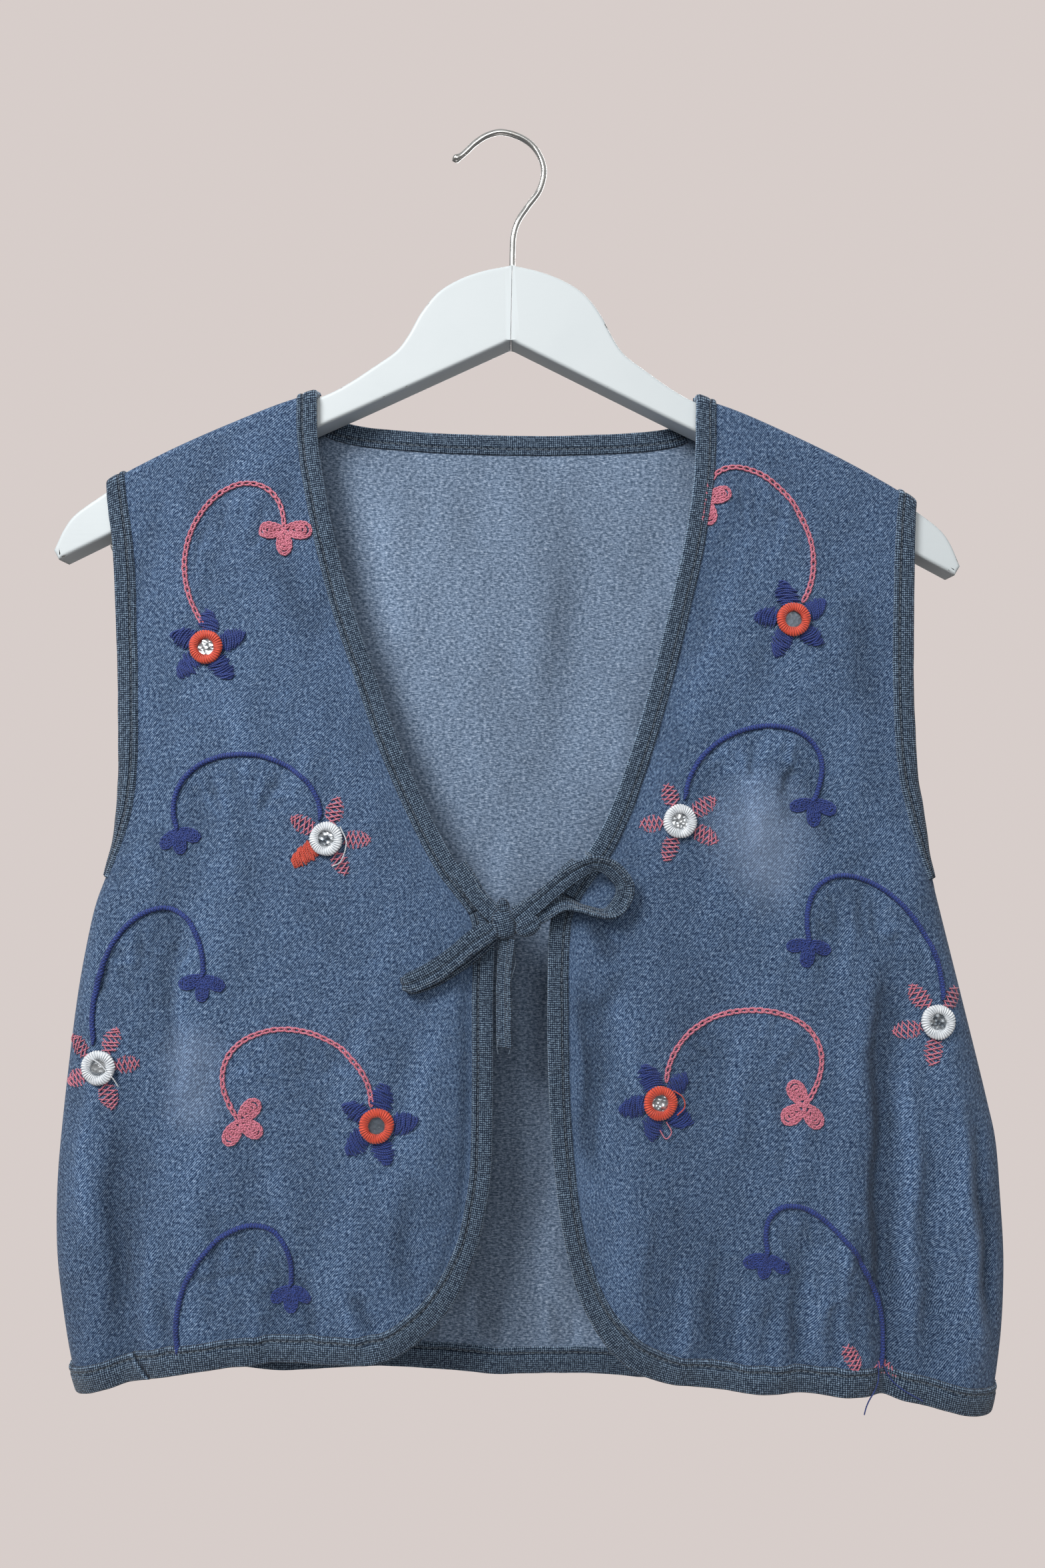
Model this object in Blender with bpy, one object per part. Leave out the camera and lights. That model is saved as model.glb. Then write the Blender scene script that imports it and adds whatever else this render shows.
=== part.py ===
"""Denim waistcoat with shisha mirrors, tied at the front and hung on a wooden hanger.

Metres, +Z up. +X is the viewer's right, the front of the waistcoat faces -Y, and the origin is
the inner top of the hook, where the hanger hangs. Tables below are in millimetres.
"""
import math

import bmesh
import bpy
import numpy as np

MM = 0.001
SEAM_GAP = 0.3
CENTRE_X = 6.0          # hanger's centre line, under the hook's stem

# Hanger
BOARD_HALF = 7.0        # half the board's thickness
BOARD_EDGE = 2.5        # rounding of the board's edges
WIRE_RADIUS = 1.4
STRAP_WIRE_RADIUS = 0.8
STRAP_HOOK_HALF = 191.0  # from the centre line
STRAP_HOOK_Z = -205.2
STRAP_LOOP = 4.0

# Cloth
PANEL_HALF = 0.6        # half the thickness of a denim panel
BIND_INNER = 1.1        # from the panel's middle to the inside of a folded binding
BIND_OUTER = 2.1        # from the panel's middle to the outside of a folded binding
BIND_FOLD = 1.0         # thickness of the binding at its folded edge
BIND_WIDTH = 10.0
HEM_WIDTH = 13.5
PANEL_INSET = 1.6       # a panel's cut edge lies this far inside its folded binding
SHOULDER_RISE = 2.5     # cloth's middle above the hanger's top edge
SHOULDER_ROLL = 5.0     # height over which the cloth turns over the hanger
SHOULDER_POWER = 3.0    # how squarely it does so
NECK_HALF = 92.0        # inside this half width the shoulder line stays level

# Tie
TAPE_WIDTH = 9.0
TAPE_HALF = 0.8
KNOT_SIZE = (13.0, 8.0, 13.0)

# Mirrors
RING_RADIUS = 6.0
RING_TUBE = 2.1
RING_FLATTEN = 0.62
MIRROR_RADIUS = 6.4
MIRROR_HALF = 0.4

# Upper and lower edge of half the hanger: distance from the centre line, height
HANGER_TOP = [
    (0, -67), (14, -70), (26, -74.5), (36, -81), (44, -91), (50, -102), (56, -110), (67, -118),
    (78, -125.5), (90, -132), (106, -137.2), (118, -141.8), (132, -147.8), (146, -154),
    (160, -160.6), (174, -167.8), (188, -175.6), (197, -182), (210, -191.5), (216, -199), (221, -210),
]
HANGER_BOTTOM = [(218.5, -214.5), (194, -202), (100, -151), (75, -139.5), (55, -130), (0, -103.8)]

# Hook wire: x, z, radius factor (the tip ends in a small ball)
HOOK = [
    (-24.5, -13.1, 1.15), (-22.6, -12.0, 1.35), (-20.2, -10.6, 1.0), (-17.2, -7.9, 1.0),
    (-13.2, -4.0, 1.0), (-7.3, -0.2, 1.0), (0, 1.4, 1.0), (9.4, -1.2, 1.0), (16.6, -6.8, 1.0),
    (20.7, -16.3, 1.0), (18.9, -26.4, 1.0), (13.0, -35.1, 1.0), (8.6, -42.0, 1.0),
    (6.4, -49.0, 1.0), (6.0, -57.0, 1.0), (6.0, -66.7, 1.0),
]

# Outer edge of the fronts and back, armhole and then side fold: height, x
OUTER_LEFT = [
    (-120, -188.4), (-176, -188.4), (-191, -187.4), (-210, -184.8), (-248, -182.2), (-285, -180),
    (-304, -179.3), (-323, -179), (-339, -179.9), (-352, -182.2), (-369, -187.2), (-380, -191),
    (-393, -194), (-420, -198.4), (-450, -201.7), (-485, -204.9), (-516, -206.8), (-547, -206.4),
    (-573, -203.4), (-600, -198.6), (-617, -193.5), (-640, -186),
]
OUTER_RIGHT = [
    (-120, 203.8), (-176, 203.8), (-203, 203.5), (-241, 203.4), (-279, 203.7), (-309, 205.3),
    (-328, 208.3), (-347, 211.8), (-362, 216), (-385, 222), (-408, 228), (-439, 236), (-470, 244),
    (-489, 248.3), (-516, 250.8), (-546, 252.8), (-577, 252.2), (-604, 249.4), (-619, 246.5),
    (-640, 241),
]
ARMHOLE_LOW = {"left": -368.0, "right": -362.0}
ARMHOLE_EASE = 6.0      # below the armhole the cloth's cut edge runs out to the side fold

# Bound edge of each front, from the neck point down the neckline and front edge, round the
# lower corner and along the hem to the side: x, height
EDGE_LEFT = [
    (-87.4, -125), (-87.2, -145), (-86.2, -157.5), (-84.1, -170.5), (-77.9, -200.6),
    (-69.8, -230.7), (-57.9, -264.6), (-44, -302), (-30.2, -332), (-16.6, -356.5), (-5, -371),
    (1.2, -381), (3.3, -395), (3.2, -424), (3.8, -456), (4, -488), (3.7, -505), (1.9, -520),
    (-1, -536), (-5, -549), (-10.5, -562), (-18, -573.5), (-28, -583.5), (-38, -590), (-49, -593.7),
    (-62, -595), (-97, -596), (-134, -599), (-152, -603), (-171, -608.5), (-184, -613), (-196, -618),
]
EDGE_RIGHT = [
    (96.4, -125), (96.4, -145), (96.4, -157), (95.4, -175), (91, -205), (85.2, -232),
    (78.6, -262), (70.5, -292.6), (61, -323), (53.1, -342), (45.3, -355), (36.5, -368), (31, -380),
    (29.3, -395), (29.2, -423), (30, -455), (32, -487), (34, -504), (36, -520), (38.6, -534),
    (41.8, -547.5), (46, -561), (51.8, -573), (59.3, -583.5), (68, -592), (78, -598), (90, -602),
    (107, -604.5), (125.6, -605.6), (163, -605.6), (181, -606.2), (200, -608.4), (218, -611.6),
    (232, -615), (249, -619.6),
]
TIE_HEIGHT = {"left": -378.0, "right": -371.0}

# Bound edge of the back at the neck and hem: x, height
BACK_NECK = [(-87.6, -124), (-87.3, -131.2), (-86.2, -135), (-83, -138), (-76, -140.4), (-61, -142.8),
             (-29.5, -144.6), (2, -145.2), (26, -145), (49, -144), (65, -143), (77, -141.8),
             (86, -140.2), (92, -137.6), (95.2, -134.6), (96.3, -131.2), (96.6, -124)]
NECK_STRIP = (-82.0, 91.0)  # the back's neck binding runs between these, both behind the hanger
BACK_HEM = [(-198, -617.5), (-150, -616.5), (-36, -616), (26, -617), (90, -619), (160, -620),
            (252, -619.5)]

# Depths by height: fronts' middle, backs' middle, side fold, and how wide the side fold rolls
FRONT_DEPTH = [(-120, -9.5), (-200, -9.6), (-260, -10.4), (-320, -13), (-380, -17), (-440, -20.5),
               (-520, -22.5), (-580, -22), (-640, -21)]
BACK_DEPTH = [(-120, 9.5), (-250, 9.7), (-400, 11.5), (-520, 13.5), (-640, 12.5)]
FRONT_EDGE_DEPTH = [(-120, -9.5), (-200, -9.6), (-300, -9.6), (-335, -8), (-352, -5), (-369, -1.5),
                    (-450, -4), (-640, -7)]
BACK_EDGE_DEPTH = [(-120, 9.5), (-300, 9.0), (-335, 6.5), (-352, 3.5), (-369, -0.5), (-450, -4),
                   (-640, -7)]
SIDE_ROLL = [(-120, 12), (-340, 12), (-400, 20), (-480, 30), (-640, 32)]

# Hanging folds of each panel: top x and height, low x and height, half width, how far it stands
FRONT_FOLDS = [
    (-169, -430, -167, -640, 9, -3.0),
    (-140, -390, -139, -640, 15, 2.5),
    (-101, -470, -98, -640, 13, -2.0),
    (-58, -380, -52, -640, 19, 3.0),
    (-118, -180, -122, -330, 22, 1.6),
    (62, -440, 70, -640, 16, 2.8),
    (98, -300, 112, -560, 18, -1.8),
    (150, -520, 151, -640, 7, -2.0),
    (172, -390, 173, -640, 10, 2.4),
    (192, -370, 193, -640, 6.5, -4.0),
    (214, -400, 220, -640, 12, 3.0),
    (132, -180, 138, -340, 22, 1.6),
]
BACK_FOLDS = [
    (-150, -400, -155, -640, 22, 3.0),
    (-95, -420, -98, -640, 18, -3.0),
    (-40, -170, -46, -640, 26, 2.0),
    (8, -330, 6, -640, 16, -2.5),
    (52, -200, 60, -640, 24, 2.5),
    (118, -400, 124, -640, 20, -3.0),
    (180, -400, 188, -640, 24, 3.5),
]
# How far each front's bound edge falls back behind the panel: height, depth
EDGE_ROLL = {
    "left": [(-120, 0), (-385, 0), (-430, 3), (-470, 4.6), (-500, 4.6), (-530, 3.2), (-560, 1.2),
             (-585, 0), (-640, 0)],
    "right": [(-120, 0), (-385, 0), (-430, 2.6), (-470, 3.8), (-500, 3.8), (-530, 2.6), (-560, 1),
              (-585, 0), (-640, 0)],
}
EDGE_ROLL_FROM, EDGE_ROLL_TO = 12.5, 21.5

# Flowers with a mirror: name, x, height, colour of the ring
MIRRORS = [
    ("left_1", -137.9, -256.6, "red"),
    ("left_2", -77.4, -347.8, "white"),
    ("left_3", -182.3, -457.4, "white"),
    ("left_4", -50.4, -481.5, "red"),
    ("right_1", 144.5, -238.5, "red"),
    ("right_2", 91.1, -336.6, "white"),
    ("right_3", 213.8, -429.1, "white"),
    ("right_4", 82.8, -469.2, "red"),
]

# Tie tapes: x, y, z of the middle, then the direction across the tape
TAPES = {
    "tie_loop_right": [
        (15.6, -24.4, -382.4, -0.5, 0, 0.87), (25, -25, -375.5, -0.6, 0, 0.8),
        (35, -25, -366.5, -0.62, -0.1, 0.78), (44, -25, -360, -0.5, -0.45, 0.74),
        (53, -24.6, -357.5, -0.1, -0.7, 0.7), (61, -24.1, -360.5, 0.45, -0.75, 0.48),
        (66, -23.6, -368, 0.75, -0.66, 0.05), (63.5, -23.1, -376, 0.55, -0.75, -0.35),
        (55, -23.1, -380, 0.2, -0.8, -0.55), (45, -22.9, -378.8, 0.0, -0.8, -0.6),
        (34, -23.0, -378.9, 0.1, -0.5, -0.85), (25, -23.3, -382.2, 0.3, -0.3, -0.9),
        (17.0, -23.0, -387.4, 0.5, -0.1, -0.85),
    ],
    "tie_loop_left": [
        (1.9, -24.2, -388.6, 0.55, 0, -0.83), (-6, -25.8, -394, 0.6, 0, -0.8),
        (-15, -26.2, -401.5, 0.6, 0, -0.8), (-25, -26.1, -409, 0.5, 0, -0.86),
        (-34, -25.9, -413.5, 0.3, 0, -0.95), (-38.5, -24.5, -415, 0.25, 0, -0.97),
        (-39.2, -23.3, -415.2, 0.25, 0, -0.97), (-37.5, -22.2, -415.2, 0.3, 0, -0.95),
        (-33, -21.2, -414.6, 0.4, 0, -0.9), (-24, -20.9, -411, 0.5, 0, -0.86),
        (-14, -21.0, -404.5, 0.6, 0, -0.8), (-6, -21.2, -398, 0.6, 0, -0.8),
        (1.3, -21.6, -390.9, 0.6, 0, -0.8),
    ],
    "tie_end": [
        (9.4, -22.4, -392.5, 0.85, -0.5, 0), (9.0, -21.5, -399, 0.82, -0.57, 0),
        (8.4, -20.6, -408, 0.78, -0.62, 0), (8.3, -20.3, -420, 0.76, -0.64, 0),
        (8.6, -20.2, -432, 0.78, -0.62, 0), (9.0, -20.2, -445, 0.82, -0.57, 0),
    ],
    "tie_lead_right": [
        (42, -15.9, -356.5, 0.7, 0, 0.7), (33.5, -17.3, -366, 0.72, 0, 0.69),
        (26, -18.4, -373, 0.62, 0, 0.78), (19.5, -19.5, -378.5, 0.5, 0, 0.86),
        (13.6, -20.3, -382.3, 0.4, 0, 0.92),
    ],
    "tie_lead_left": [
        (-8.5, -19.8, -369.5, 0.8, 0, 0.6), (-4.5, -20.3, -374, 0.78, 0, 0.62),
        (-1, -21.0, -378, 0.7, 0, 0.7), (2.4, -22.0, -381.4, 0.65, 0, 0.76),
    ],
}
KNOT_PLACE = (8.0, -22.8, -385.5)

# Colours: base colour, roughness, metallic
LOOKS = {
    "denim": ((0.085, 0.130, 0.250), 0.95, 0.0),
    "binding": ((0.045, 0.080, 0.125), 0.95, 0.0),
    "painted_wood": ((0.76, 0.80, 0.80), 0.45, 0.0),
    "chrome": ((0.62, 0.62, 0.60), 0.2, 1.0),
    "red_thread": ((0.75, 0.07, 0.03), 0.7, 0.0),
    "white_thread": ((0.75, 0.78, 0.82), 0.7, 0.0),
    "mirror": ((0.80, 0.82, 0.84), 0.05, 1.0),
}


def clear_scene():
    for thing in list(bpy.data.objects):
        bpy.data.objects.remove(thing, do_unlink=True)


def material(name):
    """The Principled material of one finish, made once."""
    if name in bpy.data.materials:
        return bpy.data.materials[name]
    colour, roughness, metallic = LOOKS[name]
    made = bpy.data.materials.new(name)
    made.use_nodes = True
    shader = made.node_tree.nodes["Principled BSDF"]
    shader.inputs["Base Color"].default_value = (*colour, 1.0)
    shader.inputs["Roughness"].default_value = roughness
    shader.inputs["Metallic"].default_value = metallic
    return made


def add_mesh(name, verts_mm, faces, look):
    """One named object from points in millimetres, with its faces turned outwards."""
    mesh = bpy.data.meshes.new(name)
    mesh.from_pydata([tuple(float(c) * MM for c in v) for v in verts_mm], [], faces)
    form = bmesh.new()
    form.from_mesh(mesh)
    bmesh.ops.recalc_face_normals(form, faces=form.faces)
    form.to_mesh(mesh)
    form.free()
    mesh.materials.append(material(look))
    made = bpy.data.objects.new(name, mesh)
    collection.objects.link(made)
    return made


def add_curve(name, look, points, radii=None, bevel=1.0, extrude=0.0, dimensions="3D", cyclic=False):
    """A POLY curve in millimetres: a round wire, or a flat outline with a thickness."""
    data = bpy.data.curves.new(name, "CURVE")
    data.dimensions = dimensions
    data.bevel_depth = bevel * MM
    data.bevel_resolution = 2
    spline = data.splines.new("POLY")
    spline.points.add(len(points) - 1)
    for k, p in enumerate(points):
        spline.points[k].co = (p[0] * MM, p[1] * MM, p[2] * MM, 1.0)
        spline.points[k].radius = radii[k] if radii is not None else 1.0
    spline.use_cyclic_u = cyclic
    if dimensions == "2D":
        data.fill_mode = "BOTH"
        data.extrude = extrude * MM
        data.offset = -bevel * MM
    else:
        data.fill_mode = "FULL"
        data.use_fill_caps = True
    data.materials.append(material(look))
    made = bpy.data.objects.new(name, data)
    collection.objects.link(made)
    return made


def smooth_line(points, step):
    """Points along a Catmull-Rom curve through the given ones, about one step apart."""
    p = np.asarray(points, float)
    p = np.vstack([2 * p[0] - p[1], p, 2 * p[-1] - p[-2]])
    out = []
    for k in range(1, len(p) - 2):
        a, b, c, d = p[k - 1], p[k], p[k + 1], p[k + 2]
        count = max(1, int(round(np.linalg.norm(c - b) / step)))
        for t in np.arange(count) / count:
            out.append(0.5 * (2 * b + (c - a) * t + (2 * a - 5 * b + 4 * c - d) * t ** 2
                              + (3 * b - a - 3 * c + d) * t ** 3))
    out.append(p[-2])
    return np.array(out)


def table(rows, at):
    """A table of (height, value) read at the given heights."""
    rows = np.asarray(rows, float)[::-1]
    return np.interp(at, rows[:, 0], rows[:, 1])


# The curve through each outline table, as dense points
OUTER = {"left": smooth_line(OUTER_LEFT, 2.0), "right": smooth_line(OUTER_RIGHT, 2.0)}
FREE_EDGE = {"left": smooth_line(EDGE_LEFT, 1.0), "right": smooth_line(EDGE_RIGHT, 1.0)}
NECK_LINE = smooth_line(BACK_NECK, 0.25)
HEM_LINE = smooth_line(BACK_HEM, 2.0)
BOARD_TOP = smooth_line(HANGER_TOP, 4.0)
SIGN = {"left": -1.0, "right": 1.0}
UP = (0, 0, 1)


def outer_x(side, z):
    return table(OUTER[side], z)


def inset_line(line, distance, turn):
    """The line moved sideways by a distance, towards the panel."""
    tangent = np.gradient(line, axis=0)
    tangent /= np.linalg.norm(tangent, axis=1, keepdims=True)
    return line + np.stack([-tangent[:, 1], tangent[:, 0]], axis=1) * turn * distance


SHOULDER_LINE = inset_line(BOARD_TOP, SHOULDER_RISE, 1)
NECK_CUT = inset_line(NECK_LINE, PANEL_INSET, -1)


def shoulder_z(x):
    """Height of the cloth's middle over the hanger's top edge, level inside the neck."""
    half = np.clip(np.abs(np.asarray(x, float) - CENTRE_X), NECK_HALF, 212.0)
    return np.interp(half, SHOULDER_LINE[:, 0], SHOULDER_LINE[:, 1])


def quarter(c, width, power=2.0):
    """Rises from 0 to 1 over the width as a quarter ellipse, squarer with a higher power."""
    t = np.clip(np.asarray(c, float) / width, 0.0, 1.0)
    return (1.0 - (1.0 - t) ** power) ** (1.0 / power)


def folds(rows, x, z):
    """Sum of long soft ridges: a bell across each line, fading in below the line's top."""
    total = np.zeros(np.broadcast(x, z).shape)
    for x_top, z_top, x_low, z_low, width, height in rows:
        along = np.clip((z_top - z) / (z_top - z_low), 0.0, 1.0)
        middle = x_top + (x_low - x_top) * along
        fade = np.clip((z_top - z) / 90.0, 0.0, 1.0)
        fade = fade * fade * (3 - 2 * fade)
        total = total + height * fade * np.exp(-((x - middle) / width) ** 2)
    return total


def edge_roll(side, x, z):
    """The bound front edge lies behind the panel, with a soft step between them."""
    inner = np.interp(-z, -FREE_EDGE[side][:, 1], FREE_EDGE[side][:, 0])
    inside = (inner - x) * -SIGN[side]
    t = np.clip((inside - EDGE_ROLL_FROM) / (EDGE_ROLL_TO - EDGE_ROLL_FROM), 0.0, 1.0)
    return table(EDGE_ROLL[side], z) * (1 - t * t * (3 - 2 * t))


def front_low(side):
    """Index of the last free-edge point before the lower front corner turns outwards."""
    edge = FREE_EDGE[side]
    return int(np.argmin(np.abs(edge[:, 1] + 505.0))) + 1


def front_y(side, x, z):
    """Depth of a front: middle depth and folds, turning back at the side and the shoulder."""
    middle = table(FRONT_DEPTH, z) - folds(FRONT_FOLDS, x, z) + edge_roll(side, x, z)
    edge = table(FRONT_EDGE_DEPTH, z) - SEAM_GAP / 2
    across = (x - outer_x(side, z)) * -SIGN[side]
    y = edge + (middle - edge) * quarter(across, table(SIDE_ROLL, z))
    over = quarter(shoulder_z(x) - z, SHOULDER_ROLL, SHOULDER_POWER)
    return -SEAM_GAP / 2 + (y + SEAM_GAP / 2) * over


def back_y(x, z):
    """Depth of the back, turning forward at both sides and at the shoulders, not at the neck."""
    middle = table(BACK_DEPTH, z) + folds(BACK_FOLDS, x, z)
    edge = table(BACK_EDGE_DEPTH, z) + SEAM_GAP / 2
    y = edge + (middle - edge) * quarter(side_distance(x, z), table(SIDE_ROLL, z))
    at_neck = (x > NECK_CUT[0, 0]) & (x < NECK_CUT[-1, 0])
    over = np.where(at_neck, 1.0, quarter(shoulder_z(x) - z, SHOULDER_ROLL, SHOULDER_POWER))
    return SEAM_GAP / 2 + (y - SEAM_GAP / 2) * over


def normals(points, facing):
    """Unit normals of a grid of points, on the side that faces the given direction."""
    n = np.cross(np.gradient(points, axis=0), np.gradient(points, axis=1))
    n /= np.maximum(np.linalg.norm(n, axis=2, keepdims=True), 1e-9)
    if np.sum(n @ np.asarray(facing, float)) < 0:
        n = -n
    return n


def cloth_wall(name, middle, normal, look):
    """A panel: the grid moved out and in by half the wall, closed round its rim."""
    rows, cols = middle.shape[:2]
    verts = np.concatenate([(middle + normal * PANEL_HALF).reshape(-1, 3),
                            (middle - normal * PANEL_HALF).reshape(-1, 3)])
    back = rows * cols
    faces = []
    for i in range(rows - 1):
        for j in range(cols - 1):
            a, b, c, d = i * cols + j, i * cols + j + 1, (i + 1) * cols + j + 1, (i + 1) * cols + j
            faces.append((a, b, c, d))
            faces.append((back + a, back + d, back + c, back + b))
    rim = [j for j in range(cols)] + [i * cols + cols - 1 for i in range(1, rows)]
    rim += [(rows - 1) * cols + j for j in range(cols - 2, -1, -1)]
    rim += [i * cols for i in range(rows - 2, 0, -1)]
    for a, b in zip(rim, rim[1:] + rim[:1]):
        faces.append((a, back + a, back + b, b))
    return add_mesh(name, verts, faces, look)


def sweep(name, sections, look, cap):
    """A solid through closed sections of the same number of points, capped at both ends."""
    stations, count = sections.shape[:2]
    faces = []
    for i in range(stations - 1):
        for k in range(count):
            m = (k + 1) % count
            faces.append((i * count + k, i * count + m, (i + 1) * count + m, (i + 1) * count + k))
    last = (stations - 1) * count
    for corner in cap:
        faces.append(tuple(corner))
        faces.append(tuple(last + k for k in reversed(corner)))
    return add_mesh(name, sections.reshape(-1, 3), faces, look)


def section_points(depth, start, direction, steps, rule):
    """Points on the surface at given distances in from the edge, measured on the surface.

    The line from start runs along direction in the x-z plane, bent by rule so that it keeps to
    the shoulder or to the side fold where it is near one of them.
    """
    reach = np.concatenate([[0.0], np.geomspace(0.02, 24.0, 90)])
    x = start[0] + direction[0] * reach
    z = start[1] + direction[1] * reach
    x, z = rule(start, x, z)
    line = np.stack([x, depth(x, z), z], axis=1)
    run = np.concatenate([[0.0], np.cumsum(np.linalg.norm(np.diff(line, axis=0), axis=1))])
    return np.stack([np.interp(steps, run, line[:, k]) for k in range(3)], axis=1)


def along(line, places):
    """Points and unit tangents of a polyline at given distances from its start."""
    run = np.concatenate([[0.0], np.cumsum(np.linalg.norm(np.diff(line, axis=0), axis=1))])
    points = np.stack([np.interp(places, run, line[:, k]) for k in range(2)], axis=1)
    ahead = np.stack([np.interp(np.asarray(places) + 1.5, run, line[:, k]) for k in range(2)], axis=1)
    behind = np.stack([np.interp(np.asarray(places) - 1.5, run, line[:, k]) for k in range(2)], axis=1)
    tangent = ahead - behind
    return points, tangent / np.linalg.norm(tangent, axis=1, keepdims=True)


def binding(name, depth, line, places, turn, rule, facing, widths, leaf=(1.0,), ends=()):
    """A strip folded over a panel's edge: a U section carried along the edge.

    turn is +1 or -1, the side of the line on which the panel lies. leaf gives the shares of the
    width at which each leaf of the U has its points. ends gives the facing of the cloth where
    the strip stops on a fold, as pairs of station and direction.
    """
    points, tangents = along(line, places)
    middle = []
    for p, t, width in zip(points, tangents, widths):
        inward = np.array([-t[1], t[0]]) * turn
        steps = np.array([0.0, BIND_FOLD + 0.2] + [width * share for share in leaf])
        middle.append(section_points(depth, p, inward, steps, rule))
    middle = np.array(middle)
    n = normals(middle, facing)
    for station, direction in ends:
        n[station] = direction

    def moved(k, distance):
        return middle[:, k] + n[:, k] * distance

    leaves = range(len(leaf) + 1, 0, -1)
    loop = [moved(k, BIND_OUTER) for k in leaves]
    loop += [moved(0, BIND_OUTER * 0.5), moved(0, -BIND_OUTER * 0.5)]
    loop += [moved(k, -BIND_OUTER) for k in reversed(leaves)]
    loop += [moved(k, -BIND_INNER) for k in leaves]
    loop += [moved(k, BIND_INNER) for k in reversed(leaves)]
    sections = np.stack(loop, axis=1)
    size, total = len(leaf) + 1, len(loop)
    cap = [(k, k + 1, total - 2 - k, total - 1 - k) for k in range(size - 1)]
    cap += [(size - 1, size, size + 1, size + 2, total - size - 1, total - size)]
    cap += [(size + 2 + k, size + 3 + k, total - size - 2 - k, total - size - 1 - k)
            for k in range(size - 1)]
    return sweep(name, sections, "binding", cap)


def keep_shoulder(start, x, z):
    """Near the shoulder, stay at the start's distance below it."""
    below = shoulder_z(start[0]) - start[1]
    share = np.clip(1.0 - below / 30.0, 0.0, 1.0)
    return x, z + (shoulder_z(x) - below - z) * share


def keep_side(side):
    """Near the side fold, stay at the start's distance from it."""
    def rule(start, x, z):
        inside = (start[0] - outer_x(side, start[1])) * -SIGN[side]
        share = np.clip(1.0 - inside / 60.0, 0.0, 1.0)
        return x + (outer_x(side, z) - SIGN[side] * inside - x) * share, z
    return rule


def column(outer, inner, top, low, share):
    """One column of a panel: x between both edges at each height, from its top to its foot."""
    z = np.linspace(SEARCH_TOP, SEARCH_FOOT, int((SEARCH_TOP - SEARCH_FOOT) / SEARCH_STEP) + 1)
    x = outer(z) + (inner(z) - outer(z)) * share
    inside = (z <= top(x)) & (z >= low(x))
    first, last = np.argmax(inside), len(z) - 1 - np.argmax(inside[::-1])
    upper = top(x[first]) - SHOULDER_ROLL * np.array(TURN_ROWS)
    lower = upper[-1] + (z[last] - upper[-1]) * np.array(ROW_SHARES)
    places = np.concatenate([upper, lower])
    return np.interp(-places, -z, x), places


# Heights searched for a column's two ends
SEARCH_TOP, SEARCH_FOOT, SEARCH_STEP = -124.0, -628.0, 0.1

# Rows of a panel: where the cloth turns over the hanger, then down to the hem, closest together
# beside the foot of the armhole
TURN_ROWS = [0.0, 0.03, 0.12, 0.35, 1.0]
ROW_SHARES = [0.055, 0.115, 0.175, 0.235, 0.285, 0.32, 0.35, 0.38, 0.41, 0.44, 0.485, 0.54, 0.6,
              0.66, 0.72, 0.775, 0.825, 0.87, 0.915, 0.958, 1.0]
# Columns of a front from its outer edge to its bound edge, and of the back from left to right
FRONT_SHARES = [0, 0.006, 0.024, 0.055, 0.095, 0.15, 0.22, 0.3, 0.385, 0.47, 0.555, 0.635, 0.71,
                0.78, 0.84, 0.885, 0.92, 0.948, 0.976, 1]
BACK_SHARES = [0, 0.003, 0.011, 0.025, 0.045, 0.07, 0.105, 0.15, 0.2, 0.2514, 0.2555, 0.264, 0.29,
               0.36, 0.44, 0.52, 0.6, 0.69, 0.719, 0.728, 0.7322, 0.79, 0.855, 0.91, 0.955, 0.975,
               0.989, 0.997, 1]


def panel_outer(side):
    """A panel's own outer edge: inside the armhole binding, and on the side fold below it."""
    low = ARMHOLE_LOW[side]

    def edge(z):
        inset = np.clip((z - low) / ARMHOLE_EASE + 1.0, 0.0, 1.0) * PANEL_INSET
        return outer_x(side, z) - SIGN[side] * inset
    return edge


def front_panel(side):
    """A front, one cut piece: columns fan out from the armhole and side to the bound edge."""
    turn = SIGN[side]
    edge = inset_line(FREE_EDGE[side], PANEL_INSET, turn)
    split = front_low(side)
    down, hem = edge[:split], edge[split - 1:]
    order = np.argsort(hem[:, 0])

    def inner(z):
        return np.interp(-z, -down[:, 1], down[:, 0])

    def low(x):
        return np.interp(x, hem[order, 0], hem[order, 1])

    grid = []
    for share in FRONT_SHARES:
        x, z = column(panel_outer(side), inner, shoulder_z, low, share)
        grid.append(np.stack([x, front_y(side, x, z), z], axis=1))
    middle = np.array(grid).transpose(1, 0, 2)
    n = normals(middle, (0, -1, 0))
    n[0] = UP
    below = middle[:, 0, 2] < ARMHOLE_LOW[side] - ARMHOLE_EASE
    n[below, 0] = (turn, 0, 0)
    cloth_wall("front_" + side, middle, n, "denim")
    return middle[:, :, [0, 2]]


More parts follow.
